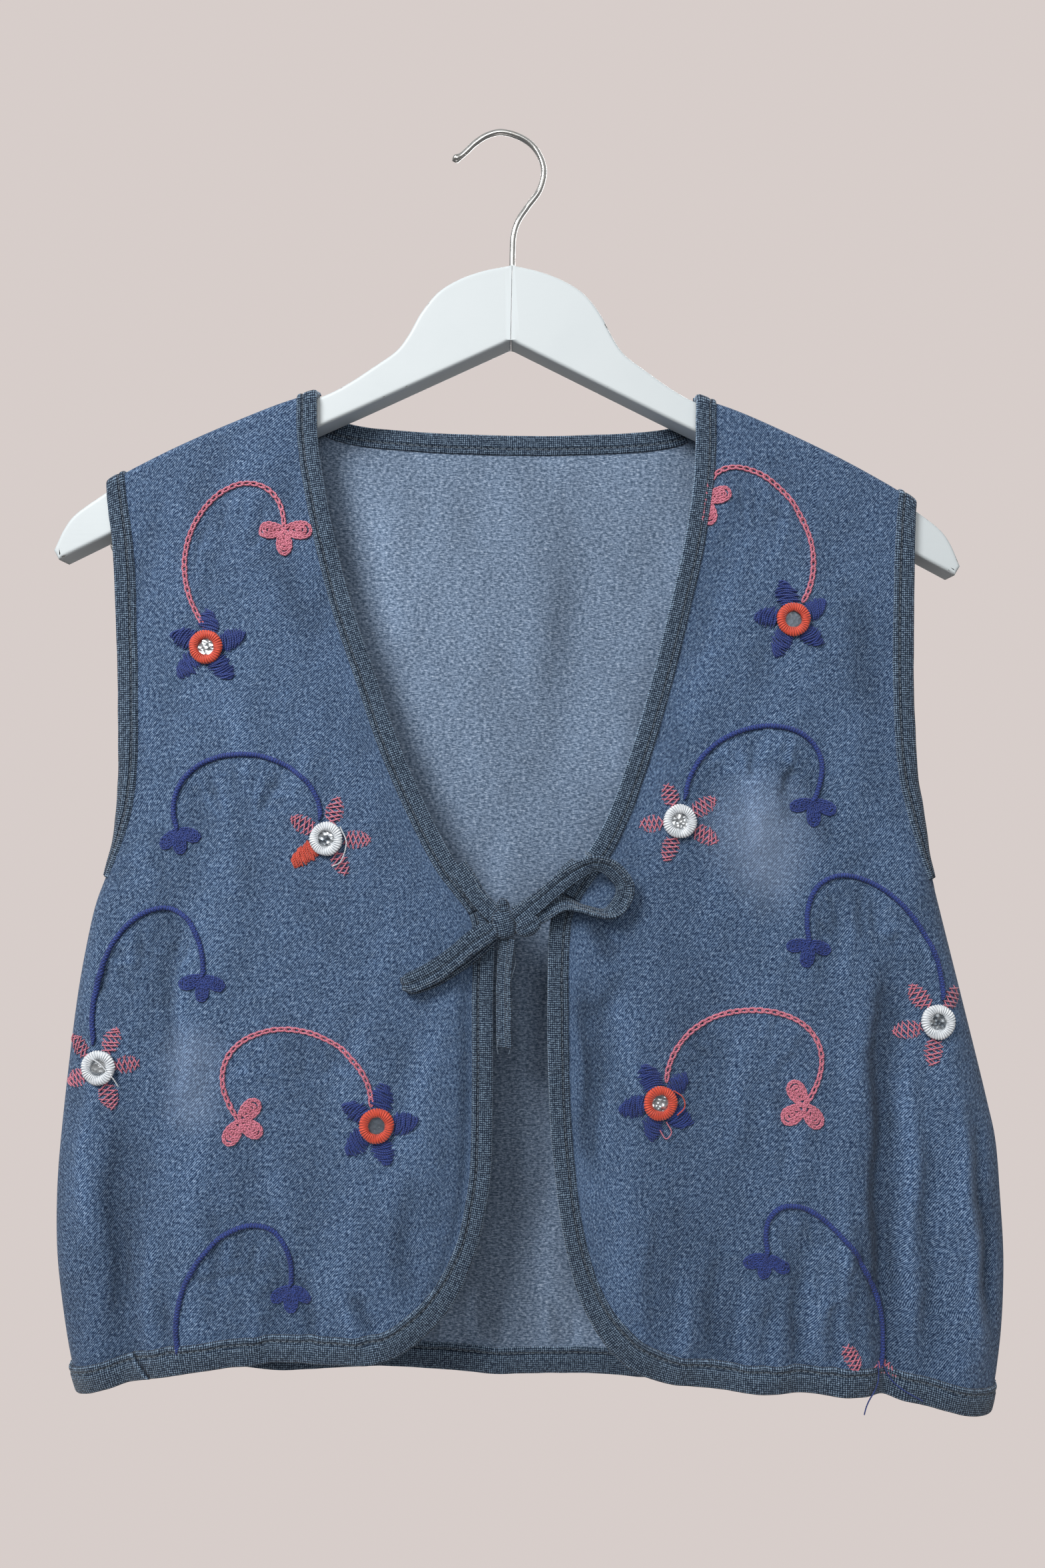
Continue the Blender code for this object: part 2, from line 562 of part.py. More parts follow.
def back_panel():
    """The back, one cut piece: shoulder, neck and shoulder at the top, hem at the foot."""
    hem = inset_line(HEM_LINE, PANEL_INSET, 1)

    def top(x):
        x = np.asarray(x, float)
        in_neck = (x > NECK_CUT[0, 0]) & (x < NECK_CUT[-1, 0])
        cut = np.interp(x, NECK_CUT[:, 0], NECK_CUT[:, 1])
        return np.where(in_neck, np.minimum(shoulder_z(x), cut), shoulder_z(x))

    def low(x):
        return np.interp(x, hem[:, 0], hem[:, 1])

    grid = []
    for share in BACK_SHARES:
        x, z = column(panel_outer("left"), panel_outer("right"), top, low, share)
        grid.append(np.stack([x, back_y(x, z), z], axis=1))
    middle = np.array(grid).transpose(1, 0, 2)
    n = normals(middle, (0, 1, 0))
    shoulders = (middle[0, :, 0] < NECK_CUT[0, 0]) | (middle[0, :, 0] > NECK_CUT[-1, 0])
    n[0, shoulders] = UP
    for col, side in ((0, "left"), (-1, "right")):
        below = middle[:, col, 2] < ARMHOLE_LOW[side] - ARMHOLE_EASE
        n[below, col] = (SIGN[side], 0, 0)
    cloth_wall("back", middle, n, "denim")
    return middle[:, :, [0, 2]]


def front_bindings(side, rim):
    """Neck binding down to the tie, then one strip down the front edge and along the hem."""
    line, turn = FREE_EDGE[side], SIGN[side]
    start = place_at(line, shoulder_z(line[0, 0]) - 0.02, 1)
    tie = place_at(line, TIE_HEIGHT[side], 1)
    side_end = fold_place(line, side)
    corner = line_length_to(line, front_low(side) - 1)
    near = stations(line, np.concatenate([rim[1:, -1], rim[-1, ::-1]]))

    def depth(x, z):
        return front_y(side, x, z)

    places = np.concatenate([[start], near[(near > start + 0.05) & (near < tie - 2.0)],
                             [tie - SEAM_GAP]])
    binding("neck_binding_" + side, depth, line, places, turn, keep_shoulder, (0, -1, 0),
            np.full(len(places), BIND_WIDTH), ends=[(0, UP)])
    lower = np.concatenate([[tie + SEAM_GAP],
                            np.unique(near[(near > tie + 2.0) & (near < side_end - 0.05)]),
                            [side_end]])
    grow = np.clip((lower - corner - 30) / 60, 0, 1)
    widths = BIND_WIDTH + (HEM_WIDTH - BIND_WIDTH) * grow * grow * (3 - 2 * grow)
    binding("hem_binding_" + side, depth, line, lower, turn, keep_side(side), (0, -1, 0), widths,
            leaf=(0.5, 1.0), ends=[(-1, (turn, 0, 0))])


def armhole_bindings(side, front_rim, back_rim):
    """A front and a back strip folded over the armhole's edge, shoulder to side seam."""
    turn = -SIGN[side]
    line = OUTER[side][:, ::-1]
    start = place_at(line, shoulder_z(line[0, 0]) - 0.02, 1)
    end = place_at(line, ARMHOLE_LOW[side] + SEAM_GAP, 1)

    def front_depth(x, z):
        return front_y(side, x, z)

    for name, depth, rim, facing in (("armhole_front_", front_depth, front_rim, (0, -1, 0)),
                                     ("armhole_back_", back_y, back_rim, (0, 1, 0))):
        near = stations(line, rim[1:])
        places = np.concatenate([[start], near[(near > start + 0.05) & (near < end - 2.0)], [end]])
        binding(name + side, depth, line, places, turn, keep_shoulder, facing,
                np.full(len(places), BIND_WIDTH), leaf=(0.3, 0.6, 1.0), ends=[(0, UP)])


def back_bindings(rim):
    """The back's own strips: the shallow neck, and the hem from side to side."""
    first, last = (place_at(NECK_LINE, x, 0) for x in NECK_STRIP)
    near = stations(NECK_LINE, rim[0, (rim[0, :, 0] > NECK_STRIP[0]) & (rim[0, :, 0] < NECK_STRIP[1])])
    places = np.concatenate([[first], near[(near > first + 2.0) & (near < last - 2.0)], [last]])
    binding("neck_binding_back", back_y, NECK_LINE, places, -1, lambda start, x, z: (x, z), (0, 1, 0),
            np.full(len(places), BIND_WIDTH))
    first, last = fold_place(HEM_LINE, "left"), fold_place(HEM_LINE, "right")
    near = stations(HEM_LINE, rim[-1])
    places = np.concatenate([[first], near[(near > first + 0.05) & (near < last - 0.05)], [last]])

    def rule(start, x, z):
        return keep_side("left" if start[0] < CENTRE_X else "right")(start, x, z)

    binding("hem_binding_back", back_y, HEM_LINE, places, 1, rule, (0, 1, 0),
            np.full(len(places), HEM_WIDTH), ends=[(0, (-1, 0, 0)), (-1, (1, 0, 0))])


def line_length_to(line, index):
    """Distance along a polyline to one of its points."""
    return float(np.sum(np.linalg.norm(np.diff(line[:index + 1], axis=0), axis=1)))


def side_distance(x, z):
    """Distance in from the nearer side fold."""
    return np.minimum(x - outer_x("left", z), outer_x("right", z) - x)


def stations(line, rim):
    """Distances along a bound edge that face the panel's own points, rim being x and height."""
    run = np.concatenate([[0.0], np.cumsum(np.linalg.norm(np.diff(line, axis=0), axis=1))])
    fine = np.arange(0.0, run[-1], SEARCH_STEP)
    x, z = np.interp(fine, run, line[:, 0]), np.interp(fine, run, line[:, 1])
    below, inside = shoulder_z(x) - z, side_distance(x, z)
    places = []
    for px, pz in rim:
        depth, across = float(shoulder_z(px) - pz), float(side_distance(px, pz))
        far = np.hypot(x - px, z - pz)
        if pz > line[:, 1].min() + 60.0 and depth < 25.0 and line[0, 1] - line[-1, 1] > 60.0:
            far = np.abs(below - max(depth, 0.02)) + (far > 12.0) * 1e3
        elif pz < -590.0 and across < 40.0:
            far = np.abs(inside - across) + (far > 12.0) * 1e3
        places.append(fine[int(np.argmin(far))])
    return np.array(places)


def fold_place(line, side):
    """Distance along a hem at which it meets the side fold."""
    inside = (line[:, 0] - outer_x(side, line[:, 1])) * -SIGN[side]
    past = int(np.argmax(np.abs(np.diff(np.sign(inside)))))
    share = inside[past] / (inside[past] - inside[past + 1])
    before, after = line_length_to(line, past), line_length_to(line, past + 1)
    return before + (after - before) * share


def place_at(line, value, axis):
    """Distance along a polyline at which a coordinate first reaches a value."""
    past = np.argmax(np.diff(np.sign(line[:, axis] - value)) != 0)
    a, b = line[past, axis], line[past + 1, axis]
    before, after = line_length_to(line, past), line_length_to(line, past + 1)
    return before + (after - before) * (value - a) / (b - a)


def hanger():
    """Two boards of painted wood that meet at the centre, each a rounded flat outline."""
    for side in ("left", "right"):
        sign = SIGN[side]
        upper = smooth_line(HANGER_TOP, 9.0)
        outline = np.concatenate([upper, HANGER_BOTTOM])
        outline[:, 0] = np.maximum(outline[:, 0], SEAM_GAP / 2)
        flat = [(CENTRE_X + sign * x, z, 0.0) for x, z in outline]
        board = add_curve("hanger_" + side, "painted_wood", flat, bevel=BOARD_EDGE,
                          extrude=BOARD_HALF - BOARD_EDGE, dimensions="2D", cyclic=True)
        board.rotation_euler = (math.pi / 2, 0.0, 0.0)


def hook():
    """Chrome wire, bent to a crook with a ball at its tip, straight down into the hanger."""
    route = smooth_line([(x, z, r) for x, z, r in HOOK], 3.6)
    add_curve("hook", "chrome", [(x, 0.0, z) for x, z, r in route], radii=route[:, 2],
              bevel=WIRE_RADIUS)


def strap_hooks():
    """A small wire loop under each arm, near the tip."""
    for side in ("left", "right"):
        middle = CENTRE_X + SIGN[side] * STRAP_HOOK_HALF
        route = []
        for angle in np.radians(np.linspace(0, -180, 8)):
            route.append((middle + STRAP_LOOP * math.cos(angle), 0.0,
                          STRAP_HOOK_Z + 1.2 * STRAP_LOOP * math.sin(angle)))
        ends = [middle + STRAP_LOOP, middle - STRAP_LOOP]
        under = [underside(x) - 0.4 * STRAP_WIRE_RADIUS - SEAM_GAP for x in ends]
        route = [(ends[0], 0.0, under[0])] + route + [(ends[1], 0.0, under[1])]
        add_curve("strap_hook_" + side, "chrome", route, bevel=STRAP_WIRE_RADIUS)


def underside(x):
    """Height of the hanger's lower edge at a place."""
    low = np.asarray(HANGER_BOTTOM, float)[::-1]
    return float(np.interp(abs(x - CENTRE_X), low[:, 0], low[:, 1]))


def mirror_seat(side, x, z):
    """Middle of a mirror's place on the front, its axes, and how far the cloth stands there."""
    def point(a, b):
        return np.array([a, float(front_y(side, np.array(a), np.array(b))), b])

    u = point(x + 1.0, z) - point(x - 1.0, z)
    v = point(x, z + 1.0) - point(x, z - 1.0)
    n = np.cross(u, v)
    n /= np.linalg.norm(n)
    if n[1] > 0:
        n = -n
    u /= np.linalg.norm(u)
    v = np.cross(n, u)
    centre = point(x, z)
    proud = 0.0
    for radius in (RING_RADIUS, RING_RADIUS + RING_TUBE):
        for angle in np.radians(np.arange(0, 360, 30)):
            flat = centre + radius * (u * math.cos(angle) + v * math.sin(angle))
            proud = max(proud, float(np.dot(point(flat[0], flat[2]) - centre, n)))
    return centre, u, v, n, proud


def mirrors():
    """Round mirrors on the cloth, each held down by a thread-wrapped ring on its rim."""
    for name, x, z, colour in MIRRORS:
        side = name.split("_")[0]
        centre, u, v, n, proud = mirror_seat(side, x, z)
        base = centre + n * (proud + PANEL_HALF + SEAM_GAP)
        sides = np.radians(np.arange(0, 360, 20))
        rim = [base + MIRROR_RADIUS * (u * math.cos(a) + v * math.sin(a)) for a in sides]
        verts = rim + [p + n * 2 * MIRROR_HALF for p in rim]
        count = len(rim)
        faces = [tuple(range(count)), tuple(range(2 * count - 1, count - 1, -1))]
        faces += [(k, count + k, count + (k + 1) % count, (k + 1) % count) for k in range(count)]
        add_mesh("mirror_" + name, verts, faces, "mirror")
        lift = 2 * MIRROR_HALF + SEAM_GAP + RING_TUBE * RING_FLATTEN
        middle = base + n * lift
        verts, faces = [], []
        around, tube = 12, 6
        for i in range(around):
            a = 2 * math.pi * i / around
            out = u * math.cos(a) + v * math.sin(a)
            for k in range(tube):
                b = 2 * math.pi * k / tube
                verts.append(middle + out * (RING_RADIUS + RING_TUBE * math.cos(b))
                             + n * RING_TUBE * RING_FLATTEN * math.sin(b))
        for i in range(around):
            for k in range(tube):
                j, m = (i + 1) % around, (k + 1) % tube
                faces.append((i * tube + k, j * tube + k, j * tube + m, i * tube + m))
        add_mesh("ring_" + name, verts, faces, colour + "_thread")


def tapes():
    """The tie: a flat folded strip carried along each table's line, and the knot."""
    for name, rows in TAPES.items():
        line = smooth_line(rows, 4.0)
        middle, across = line[:, :3], line[:, 3:]
        ahead = np.gradient(middle, axis=0)
        ahead /= np.linalg.norm(ahead, axis=1, keepdims=True)
        across = across - ahead * np.sum(across * ahead, axis=1, keepdims=True)
        across /= np.linalg.norm(across, axis=1, keepdims=True)
        thick = np.cross(ahead, across)
        half = TAPE_WIDTH / 2
        shape = [(half, 0.5), (half - 0.8, 1.0), (0.8 - half, 1.0), (-half, 0.5), (-half, -0.5),
                 (0.8 - half, -1.0), (half - 0.8, -1.0), (half, -0.5)]
        sections = np.stack([middle + across * a + thick * b * TAPE_HALF for a, b in shape], axis=1)
        sweep(name, sections, "binding", [(0, 1, 2, 3, 4, 5, 6, 7)])
    bpy.ops.mesh.primitive_uv_sphere_add(segments=16, ring_count=8, radius=0.5)
    knot = bpy.context.object
    knot.name = "tie_knot"
    for old in list(knot.users_collection):
        old.objects.unlink(knot)
    collection.objects.link(knot)
    for vertex in knot.data.vertices:
        vertex.co = [vertex.co[k] * KNOT_SIZE[k] * MM for k in range(3)]
    knot.location = [c * MM for c in KNOT_PLACE]
    knot.data.materials.append(material("binding"))


clear_scene()
collection = bpy.data.collections.new("embroidered_waistcoat")
bpy.context.scene.collection.children.link(collection)
hanger()
hook()
strap_hooks()
back_grid = back_panel()
back_bindings(back_grid)
for front, back_column in (("left", 0), ("right", -1)):
    front_grid = front_panel(front)
    front_bindings(front, front_grid)
    armhole_bindings(front, front_grid[:, 0], back_grid[:, back_column])
mirrors()
tapes()
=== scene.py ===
"""Denim waistcoat with shisha mirrors and hand embroidery, tied at the front, on a white hanger.

Lengths in tables and meshes are millimetres and are put into the scene in metres. +X is the
viewer's right, the front of the waistcoat faces -Y, and the origin is the top of the hook's crook.
"""

import math

import bpy
import numpy as np
from mathutils import Matrix


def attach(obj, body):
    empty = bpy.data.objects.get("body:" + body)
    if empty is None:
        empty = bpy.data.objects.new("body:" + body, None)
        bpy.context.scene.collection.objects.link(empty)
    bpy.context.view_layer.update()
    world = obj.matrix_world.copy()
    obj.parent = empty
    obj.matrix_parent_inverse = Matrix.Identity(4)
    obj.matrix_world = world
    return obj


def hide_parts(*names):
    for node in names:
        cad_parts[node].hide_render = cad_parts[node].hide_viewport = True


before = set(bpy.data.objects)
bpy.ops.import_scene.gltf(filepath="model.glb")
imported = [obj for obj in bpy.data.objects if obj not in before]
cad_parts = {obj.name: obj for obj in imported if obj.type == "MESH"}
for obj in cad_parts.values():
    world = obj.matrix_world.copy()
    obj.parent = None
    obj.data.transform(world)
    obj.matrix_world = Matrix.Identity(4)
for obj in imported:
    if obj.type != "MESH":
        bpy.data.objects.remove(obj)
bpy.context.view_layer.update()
MM = 0.001


# The studio: a warm white surround, a pale floor far below, two large soft lights in front of the
# waistcoat and one behind it. The camera stands half a metre away and leans one degree.
CAMERA_PLACE = (0.0155, -0.525, -0.3199)
CAMERA_LENS_MM = 24.43
CAMERA_LEAN = math.radians(1.0)
WALL_COLOUR = (0.680, 0.612, 0.590)
FLOOR_Z = -1.25
FLOOR_RADIUS = 0.78
FLOOR_CORNERS = 64

scene = bpy.context.scene
scene.view_settings.view_transform = "Standard"
camera = bpy.data.objects.new("camera", bpy.data.cameras.new("camera"))
scene.collection.objects.link(camera)
camera.data.lens = CAMERA_LENS_MM
camera.data.sensor_width = 36.0
camera.data.clip_start = 0.01
lean_cos = math.cos(CAMERA_LEAN)
lean_sin = math.sin(CAMERA_LEAN)
turned = Matrix(((lean_cos, -lean_sin, 0), (0, 0, -1), (lean_sin, lean_cos, 0)))
camera.matrix_world = Matrix.Translation(CAMERA_PLACE) @ turned.to_4x4()
scene.camera = camera


def nodes_of(tree):
    """Empties a node tree and returns a function that adds a node with its settings and inputs."""
    tree.nodes.clear()

    def add(kind, inputs=None, **settings):
        node = tree.nodes.new(kind)
        for key, value in settings.items():
            setattr(node, key, value)
        for key, value in (inputs or {}).items():
            if isinstance(value, bpy.types.NodeSocket):
                tree.links.new(value, node.inputs[key])
            else:
                node.inputs[key].default_value = value
        return node
    return add


world = bpy.data.worlds.new("studio")
scene.world = world
world.use_nodes = True
add = nodes_of(world.node_tree)
towards = add("ShaderNodeSeparateXYZ", {0: add("ShaderNodeTexCoord").outputs["Generated"]})
above = add("ShaderNodeMapRange", {"Value": towards.outputs["Z"], "From Min": -0.6, "From Max": 0.9})
glow = add("ShaderNodeValToRGB", {"Fac": above.outputs[0]})
glow.color_ramp.elements[0].color = (0.34, 0.33, 0.33, 1)
glow.color_ramp.elements[1].color = (1.0, 1.0, 1.0, 1)
seen = add("ShaderNodeBackground", {"Color": (*WALL_COLOUR, 1)})
lit = add("ShaderNodeBackground", {"Color": glow.outputs["Color"], "Strength": 0.46})
pick = add("ShaderNodeMixShader", {0: add("ShaderNodeLightPath").outputs["Is Camera Ray"],
                                   1: lit.outputs[0], 2: seen.outputs[0]})
add("ShaderNodeOutputWorld", {0: pick.outputs[0]})


def soft_light(name, place, aim, size, power):
    """A square area light of the given size in metres, turned to its aim."""
    lamp = bpy.data.lights.new(name, "AREA")
    lamp.size = size
    lamp.energy = power
    made = bpy.data.objects.new(name, lamp)
    scene.collection.objects.link(made)
    made.location = place
    direction = made.location - type(made.location)(aim)
    made.rotation_euler = direction.to_track_quat("Z", "Y").to_euler()


soft_light("key", (-0.75, -1.05, 0.60), (0.0, 0.0, -0.30), 0.6, 24.0)
soft_light("fill", (0.25, -1.50, 0.20), (0.0, 0.0, -0.30), 0.9, 6.0)
soft_light("behind", (0.4, 1.50, 0.60), (0.0, 0.0, -0.35), 1.2, 26.0)

corner = np.linspace(0.0, 2.0 * np.pi, FLOOR_CORNERS, endpoint=False)
disc = bpy.data.meshes.new("floor")
disc.from_pydata(np.stack([np.cos(corner) * FLOOR_RADIUS, np.sin(corner) * FLOOR_RADIUS,
                           np.full(FLOOR_CORNERS, FLOOR_Z)], axis=1).tolist(),
                 [], [list(range(FLOOR_CORNERS))])
floor = bpy.data.objects.new("floor", disc)
scene.collection.objects.link(floor)
paper = bpy.data.materials.new("floor")
paper.use_nodes = True
add = nodes_of(paper.node_tree)
spread = add("ShaderNodeVectorMath", {0: add("ShaderNodeTexCoord").outputs["Object"],
                                      1: (0.0, 0.0, FLOOR_Z)}, operation="DISTANCE")
rim = add("ShaderNodeMapRange", {"Value": spread.outputs["Value"], "From Min": 0.25,
                                 "From Max": FLOOR_RADIUS * 0.97}, interpolation_type="SMOOTHSTEP")
matt = add("ShaderNodeBsdfPrincipled", {"Base Color": (*WALL_COLOUR, 1), "Roughness": 0.9})
fade = add("ShaderNodeMixShader", {0: rim.outputs[0], 1: matt.outputs[0],
                                   2: add("ShaderNodeBsdfTransparent").outputs[0]})
add("ShaderNodeOutputMaterial", {0: fade.outputs[0]})
disc.materials.append(paper)


# The cloth's form. Washed denim, three cut pieces joined at the shoulders and sides, hangs flat
# from the hanger. Every point of a piece lies at a depth worked out from x and height.
CENTRE_X = 6.0
SEAM_GAP = 0.3
CLOTH_HALF = 0.55
SHOULDER_RISE, SHOULDER_ROLL, SHOULDER_POWER, NECK_HALF = 2.5, 5.0, 3.0, 92.0
PANEL_INSET = 1.6
CREASE_DEPTH = 1.8
# Waves of the crumple: number, shortest, longest, and height as a share of the length
CRUMPLE_COUNT, CRUMPLE_SHORT, CRUMPLE_LONG, CRUMPLE_SHARE = 12, 8.0, 48.0, 0.0036
SIDES = ("left", "right")
SIGN = {"left": -1.0, "right": 1.0}
UP = np.array([0.0, 0.0, 1.0])
# Half of the hanger's upper edge: distance from the centre line, height
HANGER_TOP = [
    (0, -67), (14, -70), (26, -74.5), (36, -81), (44, -91), (50, -102), (56, -110), (67, -118),
    (78, -125.5), (90, -132), (106, -137.2), (118, -141.8), (132, -147.8), (146, -154),
    (160, -160.6), (174, -167.8), (188, -175.6), (197, -182), (210, -191.5), (216, -199), (221, -210),
]
# Outer edge of the cloth, armhole and then side fold: height, x
OUTER_EDGE = {
    "left": [
        (-120, -188.4), (-176, -188.4), (-191, -187.4), (-210, -184.8), (-248, -182.2), (-285, -180),
        (-304, -179.3), (-323, -179), (-339, -179.9), (-352, -182.2), (-369, -187.2), (-380, -191),
        (-393, -194), (-420, -198.4), (-450, -201.7), (-485, -204.9), (-516, -206.8),
        (-547, -206.4), (-573, -203.4), (-600, -198.6), (-617, -193.5), (-640, -186)],
    "right": [
        (-120, 203.8), (-176, 203.8), (-203, 203.5), (-241, 203.4), (-279, 203.7), (-309, 205.3),
        (-328, 208.3), (-347, 211.8), (-362, 216), (-385, 222), (-408, 228), (-439, 236),
        (-470, 244), (-489, 248.3), (-516, 250.8), (-546, 252.8), (-577, 252.2), (-604, 249.4),
        (-619, 246.5), (-640, 241)],
}
ARMHOLE_LOW = {"left": -368.0, "right": -362.0}
ARMHOLE_EASE = 6.0
# Bound edge of each front, neck point to tie, front edge, lower corner and hem: x, height
FREE_EDGE = {
    "left": [
        (-87.4, -125), (-87.2, -145), (-86.2, -157.5), (-84.1, -170.5), (-77.9, -200.6),
        (-69.8, -230.7), (-57.9, -264.6), (-44, -302), (-30.2, -332), (-16.6, -356.5), (-5, -371),
        (1.2, -381), (3.3, -395), (3.2, -424), (3.8, -456), (4, -488), (3.7, -505), (1.9, -520),
        (-1, -536), (-5, -549), (-10.5, -562), (-18, -573.5), (-28, -583.5), (-38, -590),
        (-49, -593.7), (-62, -595), (-97, -596), (-134, -599), (-152, -603), (-171, -608.5),
        (-184, -613), (-196, -618)],
    "right": [
        (96.4, -125), (96.4, -145), (96.4, -157), (95.4, -175), (91, -205), (85.2, -232),
        (78.6, -262), (70.5, -292.6), (61, -323), (53.1, -342), (45.3, -355), (36.5, -368),
        (31, -380), (29.3, -395), (29.2, -423), (30, -455), (32, -487), (34, -504), (36, -520),
        (38.6, -534), (41.8, -547.5), (46, -561), (51.8, -573), (59.3, -583.5), (68, -592),
        (78, -598), (90, -602), (107, -604.5), (125.6, -605.6), (163, -605.6), (181, -606.2),
        (200, -608.4), (218, -611.6), (232, -615), (249, -619.6)],
}
CORNER_Z = -505.0
BACK_NECK = [(-87.6, -124), (-87.3, -131.2), (-86.2, -135), (-83, -138), (-76, -140.4), (-61, -142.8),
             (-29.5, -144.6), (2, -145.2), (26, -145), (49, -144), (65, -143), (77, -141.8),
             (86, -140.2), (92, -137.6), (95.2, -134.6), (96.3, -131.2), (96.6, -124)]
BACK_HEM = [(-198, -617.5), (-150, -616.5), (-36, -616), (26, -617), (90, -619), (160, -620),
            (252, -619.5)]
# Depth by height: the fronts' and back's middle, each one's side edge, and the side's roll
FRONT_DEPTH = [(-120, -9.5), (-200, -9.6), (-260, -10.4), (-320, -13), (-380, -17), (-440, -20.5),
               (-520, -22.5), (-580, -22), (-640, -21)]
BACK_DEPTH = [(-120, 9.5), (-250, 9.7), (-400, 11.5), (-520, 13.5), (-640, 12.5)]
FRONT_EDGE_DEPTH = [(-120, -9.5), (-200, -9.6), (-300, -9.6), (-335, -8), (-352, -5), (-369, -1.5),
                    (-450, -4), (-640, -7)]
BACK_EDGE_DEPTH = [(-120, 9.5), (-300, 9.0), (-335, 6.5), (-352, 3.5), (-369, -0.5), (-450, -4),
                   (-640, -7)]
SIDE_ROLL = [(-120, 12), (-340, 12), (-400, 20), (-480, 30), (-640, 32)]
# How far each front's bound edge falls back behind the panel: height, depth
EDGE_ROLL = {
    "left": [(-120, 0), (-385, 0), (-430, 3), (-470, 4.6), (-500, 4.6), (-530, 3.2), (-560, 1.2),
             (-585, 0), (-640, 0)],
    "right": [(-120, 0), (-385, 0), (-430, 2.6), (-470, 3.8), (-500, 3.8), (-530, 2.6), (-560, 1),
              (-585, 0), (-640, 0)],
}
EDGE_ROLL_FROM, EDGE_ROLL_TO = 10.8, 17.5
# Long hanging folds: top x and height, low x and height, half width, how far each stands out
FRONT_FOLDS = [
    (-169, -430, -167, -640, 9, -3.0), (-140, -390, -139, -640, 15, 2.5),
    (-101, -470, -98, -640, 13, -2.0), (-58, -380, -52, -640, 19, 3.0),
    (-118, -180, -122, -330, 22, 1.6), (62, -440, 70, -640, 16, 2.8),
    (98, -300, 112, -560, 18, -1.8), (150, -520, 151, -640, 7, -2.0),
    (174, -380, 174, -640, 9, 2.6), (194, -366, 192, -640, 6.5, -4.4),
    (220, -400, 232, -640, 11, 3.0), (132, -180, 138, -340, 22, 1.6),
]
BACK_FOLDS = [
    (-150, -400, -155, -640, 22, 3.0), (-95, -420, -98, -640, 18, -3.0),
    (-40, -170, -46, -640, 26, 2.0), (8, -330, 6, -640, 16, -2.5), (52, -200, 60, -640, 24, 2.5),
    (118, -400, 124, -640, 20, -3.0), (180, -400, 188, -640, 24, 3.5),
]
# Creases listed one by one: from x and height, to x and height, half width, height
FRONT_CREASES = [
    (-176, -470, -171, -598, 4.5, -1.5), (-158, -520, -155, -600, 4, 0.9),
    (-186, -400, -190, -560, 5, 1.0), (-128, -505, -124, -594, 4, -0.8),
    (-149, -398, -152, -462, 3.2, -0.8), (-143, -402, -140, -478, 3.4, 0.9),
    (-118, -300, -112, -395, 6, -0.7), (-99, -345, -88, -300, 4, 0.6),
    (-160, -330, -150, -425, 5, -0.8), (-168, -250, -160, -330, 6, 0.7),
    (-104, -190, -88, -262, 7, -0.8), (-128, -262, -116, -330, 6, 0.6),
    (-84, -548, -80, -594, 3.6, -0.9), (-66, -540, -60, -592, 4, 0.8),
    (-108, -556, -106, -594, 3, 0.6), (-36, -500, -34, -578, 6, -1.0),
    (-24, -420, -30, -520, 7, 0.8), (-148, -560, -146, -600, 3, -0.8),
    (-96, -500, -92, -556, 5, 0.7), (-55, -410, -72, -470, 6, -0.6),
    (46, -395, 54, -520, 4.5, -2.0), (60, -400, 74, -480, 6, 0.9), (80, -500, 82, -596, 4, -0.8),
    (98, -540, 96, -600, 4, 0.8), (112, -520, 108, -602, 3.4, -0.8), (126, -545, 124, -602, 3, 0.7),
    (139, -548, 133, -602, 3.2, -1.0), (163, -536, 160, -604, 3.4, 0.9),
    (176, -470, 178, -606, 4, -1.0), (186, -372, 189, -600, 4.5, -2.2),
    (199, -385, 203, -600, 5, 1.4), (208, -440, 212, -606, 3.5, -1.0),
    (222, -446, 238, -600, 3.2, 1.3), (230, -452, 246, -600, 3.4, -1.3),
    (44, -382, 64, -408, 4.5, -1.4), (64, -404, 50, -442, 4.5, -1.2), (-64, -556, -50, -588, 3.6, -1.2),
    (150, -532, 148, -600, 2.6, -0.9), (157, -528, 156, -600, 2.4, 0.8), (169, -540, 166, -604, 2.6, -0.8),
    (150, -300, 168, -358, 5, -0.8), (118, -300, 132, -352, 4, 0.7),
    (138, -296, 146, -345, 3.4, -0.7), (104, -250, 92, -300, 6, 0.6),
    (170, -215, 186, -290, 7, -0.8), (176, -366, 170, -420, 3.4, 0.7),
    (160, -368, 158, -418, 3, -0.7), (122, -432, 118, -500, 4, 0.6), (140, -432, 142, -520, 4, -0.8),
]
BACK_CREASES = [
    (-130, -160, -112, -300, 8, -0.9), (-60, -150, -52, -260, 9, 0.8), (30, -150, 28, -300, 9, -0.8),
    (96, -160, 84, -280, 8, 0.8), (150, -190, 160, -330, 8, -0.9), (-165, -260, -150, -380, 7, 0.9),
    (-120, -430, -124, -606, 6, -1.2), (-66, -470, -70, -606, 6, 1.0), (-20, -420, -26, -604, 5, -1.1),
    (34, -440, 30, -606, 6, 1.0), (88, -470, 92, -608, 5, -1.2), (146, -450, 150, -608, 6, 1.1),
    (206, -440, 212, -606, 6, -1.3), (228, -500, 233, -606, 5, 1.0), (-180, -470, -178, -604, 5, -1.2),
    (0, -320, 4, -400, 7, 0.7), (60, -330, 72, -420, 7, -0.7), (-90, -330, -84, -420, 7, 0.7),
    (-22, -574, -25, -606, 2.4, -0.9), (-6, -566, -3, -606, 2.6, 0.9), (8, -578, 7, -606, 2.2, -0.8),
    (30, -570, 38, -606, 2.6, -0.9), (44, -580, 49, -606, 2.4, 0.8),
]
